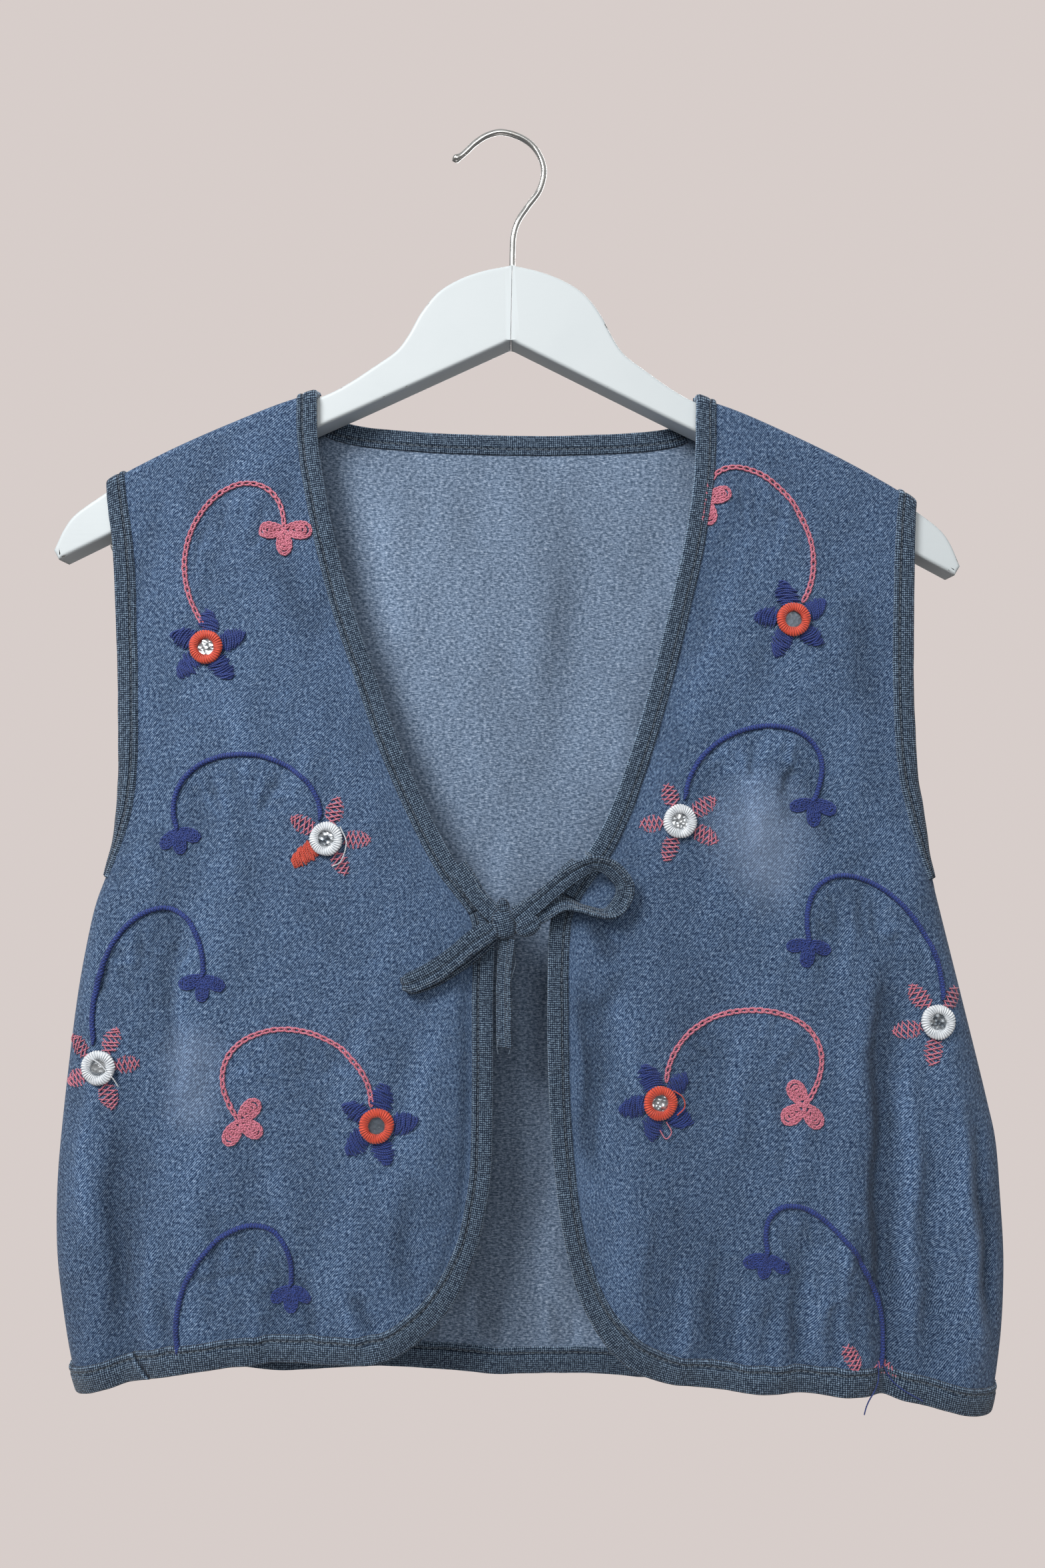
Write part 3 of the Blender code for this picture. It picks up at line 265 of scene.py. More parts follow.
# Stems: side, thread, then the sizes of the arch: x and height of its foot at the mirror and of its
# tip at the leaves, its rise above the foot, and how far it bulges past the foot and past the tip;
# then the direction of the middle leaf, the angle to the outer two, and which of the three show
STEMS = {
    "left_1": ("left", "pink", ((-139, -247), (-102, -199), 70, 30, 0), 270, 90, (-1, 0, 1)),
    "left_2": ("left", "navy", ((-81, -339), (-149, -345), 31, 0, 15), 280, 60, (-1, 0, 1)),
    "left_3": ("left", "navy", ((-185, -447), (-134, -414), 65, 10, 0), 270, 70, (-1, 0, 1)),
    "left_4": ("left", "pink", ((-53, -473), (-115, -481), 35, 0, 30), 330, 80, (-1, 0, 1)),
    "left_5": ("left", "navy", ((-141, -590), (-90, -560), 60, 10, 5), 275, 60, (-1, 0, 1)),
    "right_1": ("right", "pink", ((149, -230), (102, -181), 65, 20, 0), 280, 100, (0, 1)),
    "right_2": ("right", "navy", ((94, -326), (155, -326), 36, 0, 20), 270, 70, (-1, 0, 1)),
    "right_3": ("right", "navy", ((217, -419), (153, -393), 58, 0, 10), 265, 70, (-1, 0, 1)),
    "right_4": ("right", "pink", ((86, -460), (151, -469), 35, 0, 30), 215, 98, (-1, 0, 1)),
    "right_5": ("right", "navy", ((190, -594), (135, -540), 78, 10, 10), 262, 60, (-1, 0, 1)),
}
# Length and width of a leaf
LEAF_SIZES = {"pink": (11.5, 8.0), "navy": (10.2, 6.2)}


def arch(foot, tip, rise, out, over):
    """A slanted half ellipse over foot and tip: the way across is a cosine and the height a sine,
    and near either end the line bulges sideways by a sine that fades along the arch."""
    t = np.linspace(0.0, 1.0, 25)
    fall = tip[1] - foot[1]
    level = (1.0 - np.cos(np.pi * t)) / 2.0
    bulge = np.sin(np.pi * t) * (over * t - out * (1.0 - t))
    x = foot[0] + (tip[0] - foot[0]) * level + math.copysign(1.0, tip[0] - foot[0]) * bulge
    z = foot[1] + fall * level + math.sqrt(rise * (rise - fall)) * np.sin(np.pi * t)
    return np.stack([x, z], axis=1)


def smooth_line(points, step):
    """Catmull-Rom curve through the points: each span is a cubic in its own share of the way."""
    p = np.asarray(points, float)
    p = np.vstack([2 * p[0] - p[1], p, 2 * p[-1] - p[-2]])
    spans = []
    for k in range(1, len(p) - 2):
        a, b, c, d = p[k - 1], p[k], p[k + 1], p[k + 2]
        count = max(1, int(round(np.linalg.norm(c - b) / step)))
        t = (np.arange(count) / count)[:, None]
        spans.append(0.5 * (2 * b + (c - a) * t + (2 * a - 5 * b + 4 * c - d) * t ** 2
                            + (3 * b - a - 3 * c + d) * t ** 3))
    return np.vstack(spans + [p[-2:-1]])


def table(rows, at):
    """Straight lines between the rows of (height, value), read at the given heights."""
    rows = np.asarray(rows, float)[::-1]
    return np.interp(at, rows[:, 0], rows[:, 1])


OUTER = {side: smooth_line(rows, 2.0) for side, rows in OUTER_EDGE.items()}
EDGE = {side: smooth_line(rows, 1.0) for side, rows in FREE_EDGE.items()}
NECK_LINE = smooth_line(BACK_NECK, 0.25)
HEM_LINE = smooth_line(BACK_HEM, 2.0)


def inset_line(line, distance, turn):
    """The line moved sideways by a distance, towards the panel."""
    tangent = np.gradient(line, axis=0)
    tangent /= np.linalg.norm(tangent, axis=1, keepdims=True)
    return line + np.stack([-tangent[:, 1], tangent[:, 0]], axis=1) * turn * distance


SHOULDER_LINE = inset_line(smooth_line(HANGER_TOP, 4.0), SHOULDER_RISE, 1)
NECK_CUT = inset_line(NECK_LINE, PANEL_INSET, -1)


def outer_x(side, z):
    """x of the armhole's edge and of the side fold below it, at a height."""
    return table(OUTER[side], z)


def shoulder_z(x):
    """Height of the cloth over the hanger's upper edge, level inside the neck."""
    half = np.clip(np.abs(x - CENTRE_X), NECK_HALF, 212.0)
    return np.interp(half, SHOULDER_LINE[:, 0], SHOULDER_LINE[:, 1])


def soft_step(t):
    """0 below 0, 1 above 1, and 3t^2 - 2t^3 between."""
    t = np.clip(t, 0.0, 1.0)
    return t * t * (3.0 - 2.0 * t)


def quarter(c, width, power=2.0):
    """Quarter ellipse from 0 to 1 over the width: (1 - (1 - c/width)^p)^(1/p)."""
    t = np.clip(c / width, 0.0, 1.0)
    return (1.0 - (1.0 - t) ** power) ** (1.0 / power)


def folds(rows, x, z):
    """Sum of bells across each long line, fading in over 90 mm below the line's top."""
    total = np.zeros(np.broadcast(x, z).shape)
    for x_top, z_top, x_low, z_low, width, height in rows:
        along = np.clip((z_top - z) / (z_top - z_low), 0.0, 1.0)
        middle = x_top + (x_low - x_top) * along
        total += height * soft_step((z_top - z) / 90.0) * np.exp(-((x - middle) / width) ** 2)
    return total


def creases(rows, x, z):
    """Sum of bells across each short line, with soft ends and a slight wander from side to side."""
    total = np.zeros(np.broadcast(x, z).shape)
    for x0, z0, x1, z1, width, height in rows:
        length = math.hypot(x1 - x0, z1 - z0)
        ax, az = (x1 - x0) / length, (z1 - z0) / length
        run = (x - x0) * ax + (z - z0) * az
        off = (x - x0) * az - (z - z0) * ax + 0.35 * width * np.sin(run / (2.3 * width) + x0)
        ends = soft_step(run / (0.45 * length)) * soft_step((length - run) / (0.3 * length))
        total += height * ends * np.exp(-(off / width) ** 2)
    return total


def crumple(x, z, seed):
    """Sum of sine waves of unlike length, each leaning a little and wandering along the drop."""
    dice = np.random.default_rng(seed)
    total = np.zeros(np.broadcast(x, z).shape)
    for length in np.geomspace(CRUMPLE_SHORT, CRUMPLE_LONG, CRUMPLE_COUNT):
        lean, phase, size = dice.normal(0.0, 0.55), dice.uniform(0, 2 * np.pi), dice.uniform(0.5, 1.0)
        across = x * math.cos(lean) + z * math.sin(lean)
        drift = 1.6 * np.sin(z / (2.2 * length) + phase)
        total += size * CRUMPLE_SHARE * length * np.sin(2 * np.pi * across / length + phase + drift)
    return total


def stem_puckers():
    """Short radial creases inside each arch, where the tight stitches draw the cloth in."""
    rows = {side: [] for side in SIDES}
    dice = np.random.default_rng(5)
    for side, thread, sizes, *_ in STEMS.values():
        line = smooth_line(arch(*sizes), 1.0)
        centre = line.mean(axis=0) + (0.0, -6.0)
        strength = 0.75 if thread == "navy" else 0.45
        for k in range(10, len(line) - 14, 8):
            start = line[k] + (centre - line[k]) * dice.uniform(0.02, 0.1)
            inward = (centre - line[k]) * (0.25, 1.0)
            inward = inward / np.linalg.norm(inward) * dice.uniform(14, 34)
            rows[side].append((*start, *(start + inward), dice.uniform(1.3, 2.2),
                               strength * dice.choice((-1.0, 0.8)) * dice.uniform(0.5, 1.0)))
    return rows


PUCKERS = stem_puckers()


def front_detail(side, x, z):
    """How far the creases, puckers and crumple stand out on a front."""
    fine = creases(FRONT_CREASES, x, z) + creases(PUCKERS[side], x, z) + crumple(x, z, 3)
    return fine * CREASE_DEPTH * soft_step((shoulder_z(x) - z) / 30.0)


def back_detail(x, z):
    """How far the creases and crumple stand out on the back."""
    fine = creases(BACK_CREASES, x, z) + 0.6 * crumple(x, z, 8)
    return fine * CREASE_DEPTH * soft_step((shoulder_z(x) - z) / 30.0)


def front_y(side, x, z):
    """Depth of a front: middle depth less folds, turned back at the side, edge and shoulder."""
    inner = np.interp(-z, -EDGE[side][:, 1], EDGE[side][:, 0])
    inside = (inner - x) * -SIGN[side]
    step = soft_step((inside - EDGE_ROLL_FROM) / (EDGE_ROLL_TO - EDGE_ROLL_FROM))
    middle = table(FRONT_DEPTH, z) - folds(FRONT_FOLDS, x, z) + table(EDGE_ROLL[side], z) * (1 - step)
    across = (x - outer_x(side, z)) * -SIGN[side]
    edge = table(FRONT_EDGE_DEPTH, z) - SEAM_GAP / 2
    turned_back = quarter(across, table(SIDE_ROLL, z))
    y = edge + (middle - edge) * turned_back - front_detail(side, x, z) * soft_step(across / 14.0)
    over = quarter(shoulder_z(x) - z, SHOULDER_ROLL, SHOULDER_POWER)
    return -SEAM_GAP / 2 + (y + SEAM_GAP / 2) * over


def back_y(x, z):
    """Depth of the back, turned forward at both sides and at the shoulders, not at the neck."""
    across = np.minimum(x - outer_x("left", z), outer_x("right", z) - x)
    middle = table(BACK_DEPTH, z) + folds(BACK_FOLDS, x, z)
    edge = table(BACK_EDGE_DEPTH, z) + SEAM_GAP / 2
    turned_forward = quarter(across, table(SIDE_ROLL, z))
    y = edge + (middle - edge) * turned_forward + back_detail(x, z) * soft_step(across / 14.0)
    at_neck = (x > NECK_CUT[0, 0]) & (x < NECK_CUT[-1, 0])
    over = np.where(at_neck, 1.0, quarter(shoulder_z(x) - z, SHOULDER_ROLL, SHOULDER_POWER))
    return SEAM_GAP / 2 + (y - SEAM_GAP / 2) * over


# The three cut pieces as walls of cloth 1.1 mm thick, face outwards and the paler reverse inside.
# They are woven as a right-hand twill, washed soft and faded in patches; raised cloth is made paler, worn
# along the ridges, and sunk cloth darker, painted shade in the troughs.
ROLL_STEPS = np.array([0, 0.03, 0.1, 0.25, 0.5, 0.9, 1.5, 2.3, 3.4, 5.0])
SIDE_STEPS = np.array([0, 0.04, 0.15, 0.35, 0.65, 1.05, 1.6, 2.3, 3.2, 4.2, 5.4, 6.8, 8.4]) / 200.0
FRONT_GRID = (112, 262)
BACK_GRID = (168, 190)
TWILL_PITCH = 0.86
# Patches worn pale: x, height, radius, strength
FADED_PATCHES = [(130, -340, 34, 0.30), (134, -364, 22, 0.16), (-138, -452, 20, 0.24),
                 (-137, -474, 18, 0.24)]
FADED_COLOUR = (0.30, 0.37, 0.50)
DENIM_DEEP, DENIM_PALE, DENIM_FLECK = (0.009, 0.023, 0.062), (0.108, 0.176, 0.292), (0.34, 0.44, 0.57)
REVERSE_DEEP, REVERSE_PALE, REVERSE_FLECK = (0.058, 0.093, 0.148), (0.228, 0.300, 0.415), (0.50, 0.57, 0.66)


def unit_normals(points, facing):
    """Cross product of the grid's two directions, turned to the side that faces the given way."""
    n = np.cross(np.gradient(points, axis=0), np.gradient(points, axis=1))
    n /= np.maximum(np.linalg.norm(n, axis=-1, keepdims=True), 1e-9)
    return -n if np.sum(n @ np.asarray(facing, float)) < 0 else n


def put_mesh(name, verts, faces, uv=None, looks=(), look_of_face=None):
    """A mesh object at the origin from points in millimetres, with one uv pair for each point."""
    mesh = bpy.data.meshes.new(name)
    mesh.from_pydata((np.asarray(verts).reshape(-1, 3) * MM).tolist(), [], faces)
    if uv is not None:
        corners = np.empty(len(mesh.loops), dtype=np.int32)
        mesh.loops.foreach_get("vertex_index", corners)
        layer = mesh.uv_layers.new(name="cloth")
        layer.data.foreach_set("uv", np.asarray(uv, np.float32).reshape(-1, 2)[corners].ravel())
    for look in looks:
        mesh.materials.append(look)
    if look_of_face is not None:
        mesh.polygons.foreach_set("material_index", np.asarray(look_of_face, dtype=np.int32))
    mesh.shade_smooth()
    made = bpy.data.objects.new(name, mesh)
    scene.collection.objects.link(made)
    return made


def grid_faces(rows, cols, start=0, flip=False):
    """Four corners of every cell of a grid of points, counted row by row."""
    i, j = np.meshgrid(np.arange(rows - 1), np.arange(cols - 1), indexing="ij")
    a = (start + i * cols + j).ravel()
    cells = np.stack([a, a + 1, a + cols + 1, a + cols], axis=1)
    return cells[:, ::-1] if flip else cells


def round_faces(rows, cols):
    """Four corners of every cell between rings of points, counted ring by ring."""
    i, k = np.meshgrid(np.arange(rows - 1), np.arange(cols), indexing="ij")
    here = i * cols + k
    beside = i * cols + (k + 1) % cols
    return np.stack([here, beside, beside + cols, here + cols], axis=-1).reshape(-1, 4)


def end_faces(rows, cols):
    """The points of the first ring and those of the last, as two faces."""
    first = list(range(cols))
    return first, [(rows - 1) * cols + corner for corner in first]


def keep_values(made, name, values):
    """Keeps one number on each point of a piece, for its finish to read."""
    kept = made.data.attributes.new(name, "FLOAT", "POINT")
    kept.data.foreach_set("value", np.ravel(values).astype(np.float32))


def grid_rim(rows, cols):
    """Points round the border of a grid, in order."""
    top, low = np.arange(cols), (rows - 1) * cols + np.arange(cols)
    left, right = np.arange(rows) * cols, np.arange(rows) * cols + cols - 1
    return np.concatenate([top, right[1:], low[::-1][1:], left[::-1][1:-1]])


def group(name, inputs, outputs):
    """A shader node group with the given sockets, and the function that fills it."""
    tree = bpy.data.node_groups.new(name, "ShaderNodeTree")
    for socket, kind, value in inputs:
        made = tree.interface.new_socket(name=socket, in_out="INPUT", socket_type="NodeSocket" + kind)
        if value is not None:
            made.default_value = value
    for socket, kind in outputs:
        tree.interface.new_socket(name=socket, in_out="OUTPUT", socket_type="NodeSocket" + kind)
    return tree, nodes_of(tree)


def maths(add, operation, a, b=0.0, c=None):
    """One Math node's value."""
    inputs = {0: a, 1: b}
    if c is not None:
        inputs[2] = c
    return add("ShaderNodeMath", inputs, operation=operation).outputs[0]


def blend(add, fac, a, b, mode="MIX"):
    """One colour Mix node's result."""
    node = add("ShaderNodeMix", data_type="RGBA", blend_type=mode)
    tree = node.id_data
    for socket, value in ((node.inputs[0], fac), (node.inputs[6], a), (node.inputs[7], b)):
        if isinstance(value, bpy.types.NodeSocket):
            tree.links.new(value, socket)
        else:
            socket.default_value = value
    return node.outputs[2]


def spread_range(add, value, low, high, to_low=0.0, to_high=1.0):
    """A value carried from one range to another, held at both ends."""
    return add("ShaderNodeMapRange", {"Value": value, "From Min": low, "From Max": high,
                                      "To Min": to_low, "To Max": to_high}).outputs[0]


def weave_group():
    """Yarn flecks in millimetres of cloth: streaks along a turned grain, broken by finer specks."""
    tree, add = group("weave", [("Vector", "Vector", None), ("Grain", "Float", 1.05),
                                ("Long", "Float", 0.42), ("Short", "Float", 1.6),
                                ("Rib", "Float", 0.3)],
                      [("Pale", "Float"), ("Height", "Float")])
    came = add("NodeGroupInput")
    turned_uv = add("ShaderNodeVectorRotate", {"Vector": came.outputs["Vector"],
                                               "Angle": came.outputs["Grain"]},
                    rotation_type="Z_AXIS").outputs[0]
    stretch = add("ShaderNodeCombineXYZ", {0: came.outputs["Long"], 1: came.outputs["Short"], 2: 1.0})
    streaked = add("ShaderNodeVectorMath", {0: turned_uv, 1: stretch.outputs[0]},
                   operation="MULTIPLY").outputs[0]
    fleck = add("ShaderNodeTexNoise", {"Vector": streaked, "Scale": 1.0, "Detail": 2.0,
                                       "Roughness": 0.7}).outputs["Fac"]
    speck = add("ShaderNodeTexNoise", {"Vector": came.outputs["Vector"], "Scale": 0.66,
                                       "Detail": 2.5, "Roughness": 0.7}).outputs["Fac"]
    split = add("ShaderNodeSeparateXYZ", {0: turned_uv})
    rib = maths(add, "SINE", maths(add, "MULTIPLY", split.outputs["Y"], 2 * math.pi / TWILL_PITCH))
    rib = maths(add, "MULTIPLY", rib, came.outputs["Rib"])
    mixed = maths(add, "ADD", maths(add, "MULTIPLY", fleck, 0.5), maths(add, "MULTIPLY", speck, 0.5))
    mixed = maths(add, "ADD", mixed, maths(add, "MULTIPLY", rib, 0.12))
    pale = spread_range(add, mixed, 0.42, 0.58)
    add("NodeGroupOutput", {"Pale": pale, "Height": mixed})
    return tree


def wash_group():
    """Large soft unevenness of washed cloth: slow patches, longer down the cloth than across."""
    tree, add = group("wash", [("Vector", "Vector", None), ("Colour", "Color", (0.5, 0.5, 0.5, 1)),
                               ("Amount", "Float", 0.13)],
                      [("Colour", "Color")])
    came = add("NodeGroupInput")
    tall = add("ShaderNodeVectorMath", {0: came.outputs["Vector"], 1: (0.034, 0.017, 1.0)},
               operation="MULTIPLY").outputs[0]
    slow = add("ShaderNodeTexNoise", {"Vector": tall, "Scale": 1.0, "Detail": 4.0,
                                      "Roughness": 0.6}).outputs["Fac"]
    mottle = add("ShaderNodeTexNoise", {"Vector": came.outputs["Vector"], "Scale": 0.17,
                                        "Detail": 3.0}).outputs["Fac"]
    both = maths(add, "ADD", maths(add, "MULTIPLY", slow, 0.65), maths(add, "MULTIPLY", mottle, 0.35))
    swing = maths(add, "MULTIPLY", maths(add, "SUBTRACT", both, 0.5), came.outputs["Amount"])
    level = maths(add, "MULTIPLY_ADD", swing, 4.0, 1.0)
    shade = add("ShaderNodeVectorMath", {0: came.outputs["Colour"], 1: level},
                operation="MULTIPLY").outputs[0]
    add("NodeGroupOutput", {"Colour": shade})
    return tree


WEAVE, WASH = weave_group(), wash_group()


def finish_of(name):
    """A new material with an emptied tree, the function that adds its nodes, and its coordinates."""
    made = bpy.data.materials.new(name)
    made.use_nodes = True
    add = nodes_of(made.node_tree)
    return made, add, add("ShaderNodeTexCoord").outputs


def denim(name, deep, pale, fleck, grain, long, rib, patches=()):
    """Washed denim: deep and pale yarns with white flecks, slow fading, worn patches, and paler ridges from
    wear beside darker troughs of painted shade.
    """
    made, add, where = finish_of(name)
    weave = add("ShaderNodeGroup", node_tree=WEAVE)
    made.node_tree.links.new(where["UV"], weave.inputs["Vector"])
    weave.inputs["Grain"].default_value = grain
    weave.inputs["Long"].default_value = long
    weave.inputs["Rib"].default_value = rib
    colour = blend(add, weave.outputs["Pale"], (*deep, 1), (*pale, 1))
    colour = blend(add, spread_range(add, weave.outputs["Height"], 0.56, 0.70, 0.0, 0.8), colour,
                   (*fleck, 1))
    wash = add("ShaderNodeGroup", node_tree=WASH)
    made.node_tree.links.new(where["UV"], wash.inputs["Vector"])
    made.node_tree.links.new(colour, wash.inputs["Colour"])
    colour = wash.outputs["Colour"]
    for x, z, radius, strength in patches:
        far = add("ShaderNodeVectorMath", {0: where["Object"], 1: (x * MM, -0.02, z * MM)},
                  operation="DISTANCE").outputs["Value"]
        near = spread_range(add, far, radius * MM, 0.0, 0.0, strength)
        colour = blend(add, near, colour, (*FADED_COLOUR, 1))
    # Raised cloth is made paler as wear, sunk cloth darker as painted shade in the troughs.
    ridge = add("ShaderNodeAttribute", attribute_name="ridge").outputs["Fac"]
    level = spread_range(add, ridge, -1.9, 1.9, 0.64, 1.34)
    colour = add("ShaderNodeVectorMath", {0: colour, 1: level}, operation="MULTIPLY").outputs[0]
    bump = add("ShaderNodeBump", {"Strength": 0.35, "Distance": 0.0004,
                                  "Height": weave.outputs["Height"]})
    shader = add("ShaderNodeBsdfPrincipled", {"Base Color": colour, "Roughness": 0.92,
                                              "Sheen Weight": 0.12, "Sheen Roughness": 0.45,
                                              "Specular IOR Level": 0.2,
                                              "Normal": bump.outputs[0]})
    add("ShaderNodeOutputMaterial", {0: shader.outputs[0]})
    return made


FACE = denim("denim_face", DENIM_DEEP, DENIM_PALE, DENIM_FLECK, -0.87, 0.6, 0.6,
             FADED_PATCHES)
REVERSE = denim("denim_reverse", REVERSE_DEEP, REVERSE_PALE, REVERSE_FLECK, 0.08, 0.45, 0.2)


def cloth_wall(name, middle, normal, ridge, node):
    """Outer and inner sheet of a panel, closed round the rim, with uv measured along the cloth.

    ridge says how far each point stands out, for the paler wear on raised creases and the painted shade in
    the sunk ones.
    Returns the piece and its cut: the widest row, the longest column and the area, in metres.
    """
    rows, cols = middle.shape[:2]
    ref = cols // 2
    steps = np.linalg.norm(np.diff(middle, axis=1), axis=2)
    run = np.concatenate([np.zeros((rows, 1)), np.cumsum(steps, axis=1)], axis=1)
    u = run - run[:, ref:ref + 1]
    u = u * np.sign(middle[-1, -1, 0] - middle[-1, 0, 0]) + middle[:, ref:ref + 1, 0]
    drop = np.linalg.norm(np.diff(middle, axis=0), axis=2)
    fall = np.concatenate([np.zeros((1, cols)), np.cumsum(drop, axis=0)], axis=0)
    uv = np.stack([u, middle[-1:, :, 2] + fall[-1:] - fall], axis=-1).reshape(-1, 2)
    verts = np.concatenate([(middle + normal * CLOTH_HALF).reshape(-1, 3),
                            (middle - normal * CLOTH_HALF).reshape(-1, 3)])
    outer, inner = grid_faces(rows, cols), grid_faces(rows, cols, rows * cols, True)
    rim = grid_rim(rows, cols)
    after = np.roll(rim, -1)
    side = np.stack([rim, rim + rows * cols, after + rows * cols, after], axis=1)
    n = np.cross(middle[0, 1] - middle[0, 0], middle[-1, 0] - middle[0, 0])
    if np.dot(n, normal[rows // 2, ref]) >= 0:
        outer, inner, side = outer[:, ::-1], inner[:, ::-1], side[:, ::-1]
    looks = np.concatenate([np.zeros(len(outer)), np.ones(len(inner)), np.zeros(len(side))])
    made = put_mesh(name, verts, np.concatenate([outer, inner, side]).tolist(),
                    np.concatenate([uv, uv]), (FACE, REVERSE), looks)
    keep_values(made, "ridge", np.tile(ridge.ravel(), 2))
    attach(made, "root")
    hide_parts(node)
    cells = np.cross(middle[1:, 1:] - middle[:-1, :-1], middle[1:, :-1] - middle[:-1, 1:]) / 2
    area = np.sum(np.linalg.norm(cells, axis=-1)) * MM * MM
    return made, (run[:, -1].max() * MM, fall[-1].max() * MM), area


def panel_grid(outer, inner, top, foot, shares, down):
    """Columns at shares of the way from outer to inner edge, each from its top to its foot.

    Where a column meets the top or foot line is found by halving the span of heights.
    """
    s = shares[:, None]

    def x_at(z):
        return outer(z) + (inner(z) - outer(z)) * s

    def meet(line, high, low):
        high, low = np.full(s.shape, high), np.full(s.shape, low)
        for _ in range(40):
            half = (high + low) / 2
            over = half > line(x_at(half))
            high, low = np.where(over, half, high), np.where(over, low, half)
        return (high + low) / 2

    start, end = meet(top, -124.0, -240.0), meet(foot, -460.0, -640.0)
    upper = start - ROLL_STEPS
    lower = upper[:, -1:] + (end - upper[:, -1:]) * np.linspace(0, 1, down)[1:]
    z = np.concatenate([upper, lower], axis=1)
    return x_at(z).T, z.T


def panel_outer(side):
    """A piece's own outer edge: inside the armhole's binding, on the side fold below it."""
    def edge(z):
        inset = np.clip((z - ARMHOLE_LOW[side]) / ARMHOLE_EASE + 1.0, 0.0, 1.0) * PANEL_INSET
        return outer_x(side, z) - SIGN[side] * inset
    return edge


def front_cloth(side):
    """A front from shoulder seam to hem, between its side fold and its bound edge."""
    edge = inset_line(EDGE[side], PANEL_INSET, SIGN[side])
    split = int(np.argmin(np.abs(EDGE[side][:, 1] - CORNER_Z))) + 1
    down, hem = edge[:split], edge[split - 1:]
    hem = hem[np.argsort(hem[:, 0])]
    shares = np.concatenate([SIDE_STEPS, np.linspace(SIDE_STEPS[-1], 1.0, FRONT_GRID[0])[1:]])
    x, z = panel_grid(panel_outer(side), lambda h: np.interp(-h, -down[:, 1], down[:, 0]),
                      shoulder_z, lambda a: np.interp(a, hem[:, 0], hem[:, 1]), shares, FRONT_GRID[1])
    middle = np.stack([x, front_y(side, x, z), z], axis=-1)
    normal = unit_normals(middle, (0, -1, 0))
    normal[0] = UP
    normal[middle[:, 0, 2] < ARMHOLE_LOW[side] - ARMHOLE_EASE, 0] = (SIGN[side], 0, 0)
    ridge = front_detail(side, x, z) + 0.35 * folds(FRONT_FOLDS, x, z)
    return cloth_wall("front_" + side + "_cloth", middle, normal, ridge, "front_" + side)


def back_cloth():
    """The back from both shoulder seams and the neck down to the hem."""
    hem = inset_line(HEM_LINE, PANEL_INSET, 1)

    def top(x):
        cut = np.interp(x, NECK_CUT[:, 0], NECK_CUT[:, 1])
        in_neck = (x > NECK_CUT[0, 0]) & (x < NECK_CUT[-1, 0])
        return np.where(in_neck, np.minimum(shoulder_z(x), cut), shoulder_z(x))

    half = SIDE_STEPS * 0.5
    shares = np.concatenate([half, np.linspace(half[-1], 1 - half[-1], BACK_GRID[0])[1:-1],
                             1 - half[::-1]])
    x, z = panel_grid(panel_outer("left"), panel_outer("right"), top,
                      lambda a: np.interp(a, hem[:, 0], hem[:, 1]), shares, BACK_GRID[1])
    middle = np.stack([x, back_y(x, z), z], axis=-1)
    normal = unit_normals(middle, (0, 1, 0))
    shoulders = (x[0] < NECK_CUT[0, 0]) | (x[0] > NECK_CUT[-1, 0])
    normal[0, shoulders] = UP
    for column, side in ((0, "left"), (-1, "right")):
        low = middle[:, column, 2] < ARMHOLE_LOW[side] - ARMHOLE_EASE
        normal[low, column] = (SIGN[side], 0, 0)
    ridge = back_detail(x, z) + 0.35 * folds(BACK_FOLDS, x, z)
    return cloth_wall("back_cloth", middle, normal, ridge, "back")


fronts = {side: front_cloth(side) for side in SIDES}
back = back_cloth()


# The binding: strips of darker denim, folded over every cut edge and stitched down on both faces
# with pale thread three millimetres inside the strip's edge. One hem strip laps at the left.
BIND_WIDTH, HEM_WIDTH = 10.0, 13.5
TIE_HEIGHT = {"left": -378.0, "right": -371.0}
NECK_STRIP = (-82.0, 91.0)
# One leaf of the folded strip: share of the width and millimetres from the fold, lift off the middle
LEAF = np.array([
    (1, 0.0, 0.62), (1, -0.1, 1.15), (1, -0.4, 1.62), (1, -1.0, 1.88), (1, -1.8, 1.92),
    (1, -2.4, 1.76), (1, -2.8, 1.44), (1, -3.0, 1.32), (1, -3.2, 1.44), (1, -3.6, 1.78),
    (1, -4.3, 1.95), (0.45, 0, 2.02), (0.25, 0, 2.02), (0, 1.7, 1.98), (0, 1.0, 1.8), (0, 0.45, 1.45),
    (0, 0.12, 0.85)])
# Rows of a leaf at the stitched groove, and where the strip's inside turns at the fold
STITCH_ROW, LINING_ROW = 7, 13
# How worn each place of a leaf is, from -1, painted shade in the stitched groove, to 1 on a worn edge
LEAF_WEAR_AND_SHADE = np.array([0.6, 0.6, 0.4, 0.2, 0.0, -0.4, -0.9, -1.0, -0.9, -0.2, 0.3, 0, 0, 0, 0.1, 0.5, 0.6])
BIND_DEEP, BIND_PALE = (0.008, 0.018, 0.038), (0.240, 0.335, 0.445)
# Where the left hem strip laps over itself: x of the lap at the fold, how far its end slants along
# the strip, and how far it stands up. A strip without one has its lap far past its end.
HEM_LAP, LAP_SLANT, LAP_RISE = -154.5, 6.5, 0.7
NO_LAP = 1e6


def keep_shoulder(x0, z0, x, z):
    """Near the shoulder, a line keeps its start's distance below it."""
    below = shoulder_z(x0) - z0
    return x, z + (shoulder_z(x) - below - z) * np.clip(1.0 - below / 30.0, 0.0, 1.0)


def keep_side(side):
    """Near the side fold, a line keeps its start's distance from it."""
    def rule(x0, z0, x, z):
        inside = (x0 - outer_x(side, z0)) * -SIGN[side]
        share = np.clip(1.0 - inside / 60.0, 0.0, 1.0)
        return x + (outer_x(side, z) - SIGN[side] * inside - x) * share, z
    return rule


def keep_both_sides(x0, z0, x, z):
    """The rule of whichever side fold is nearer."""
    left = x0 < CENTRE_X
    return (np.where(left, keep_side("left")(x0, z0, x, z)[0], keep_side("right")(x0, z0, x, z)[0]), z)


def keep_straight(x0, z0, x, z):
    """Away from the seams, a line stays where it is."""
    return x, z


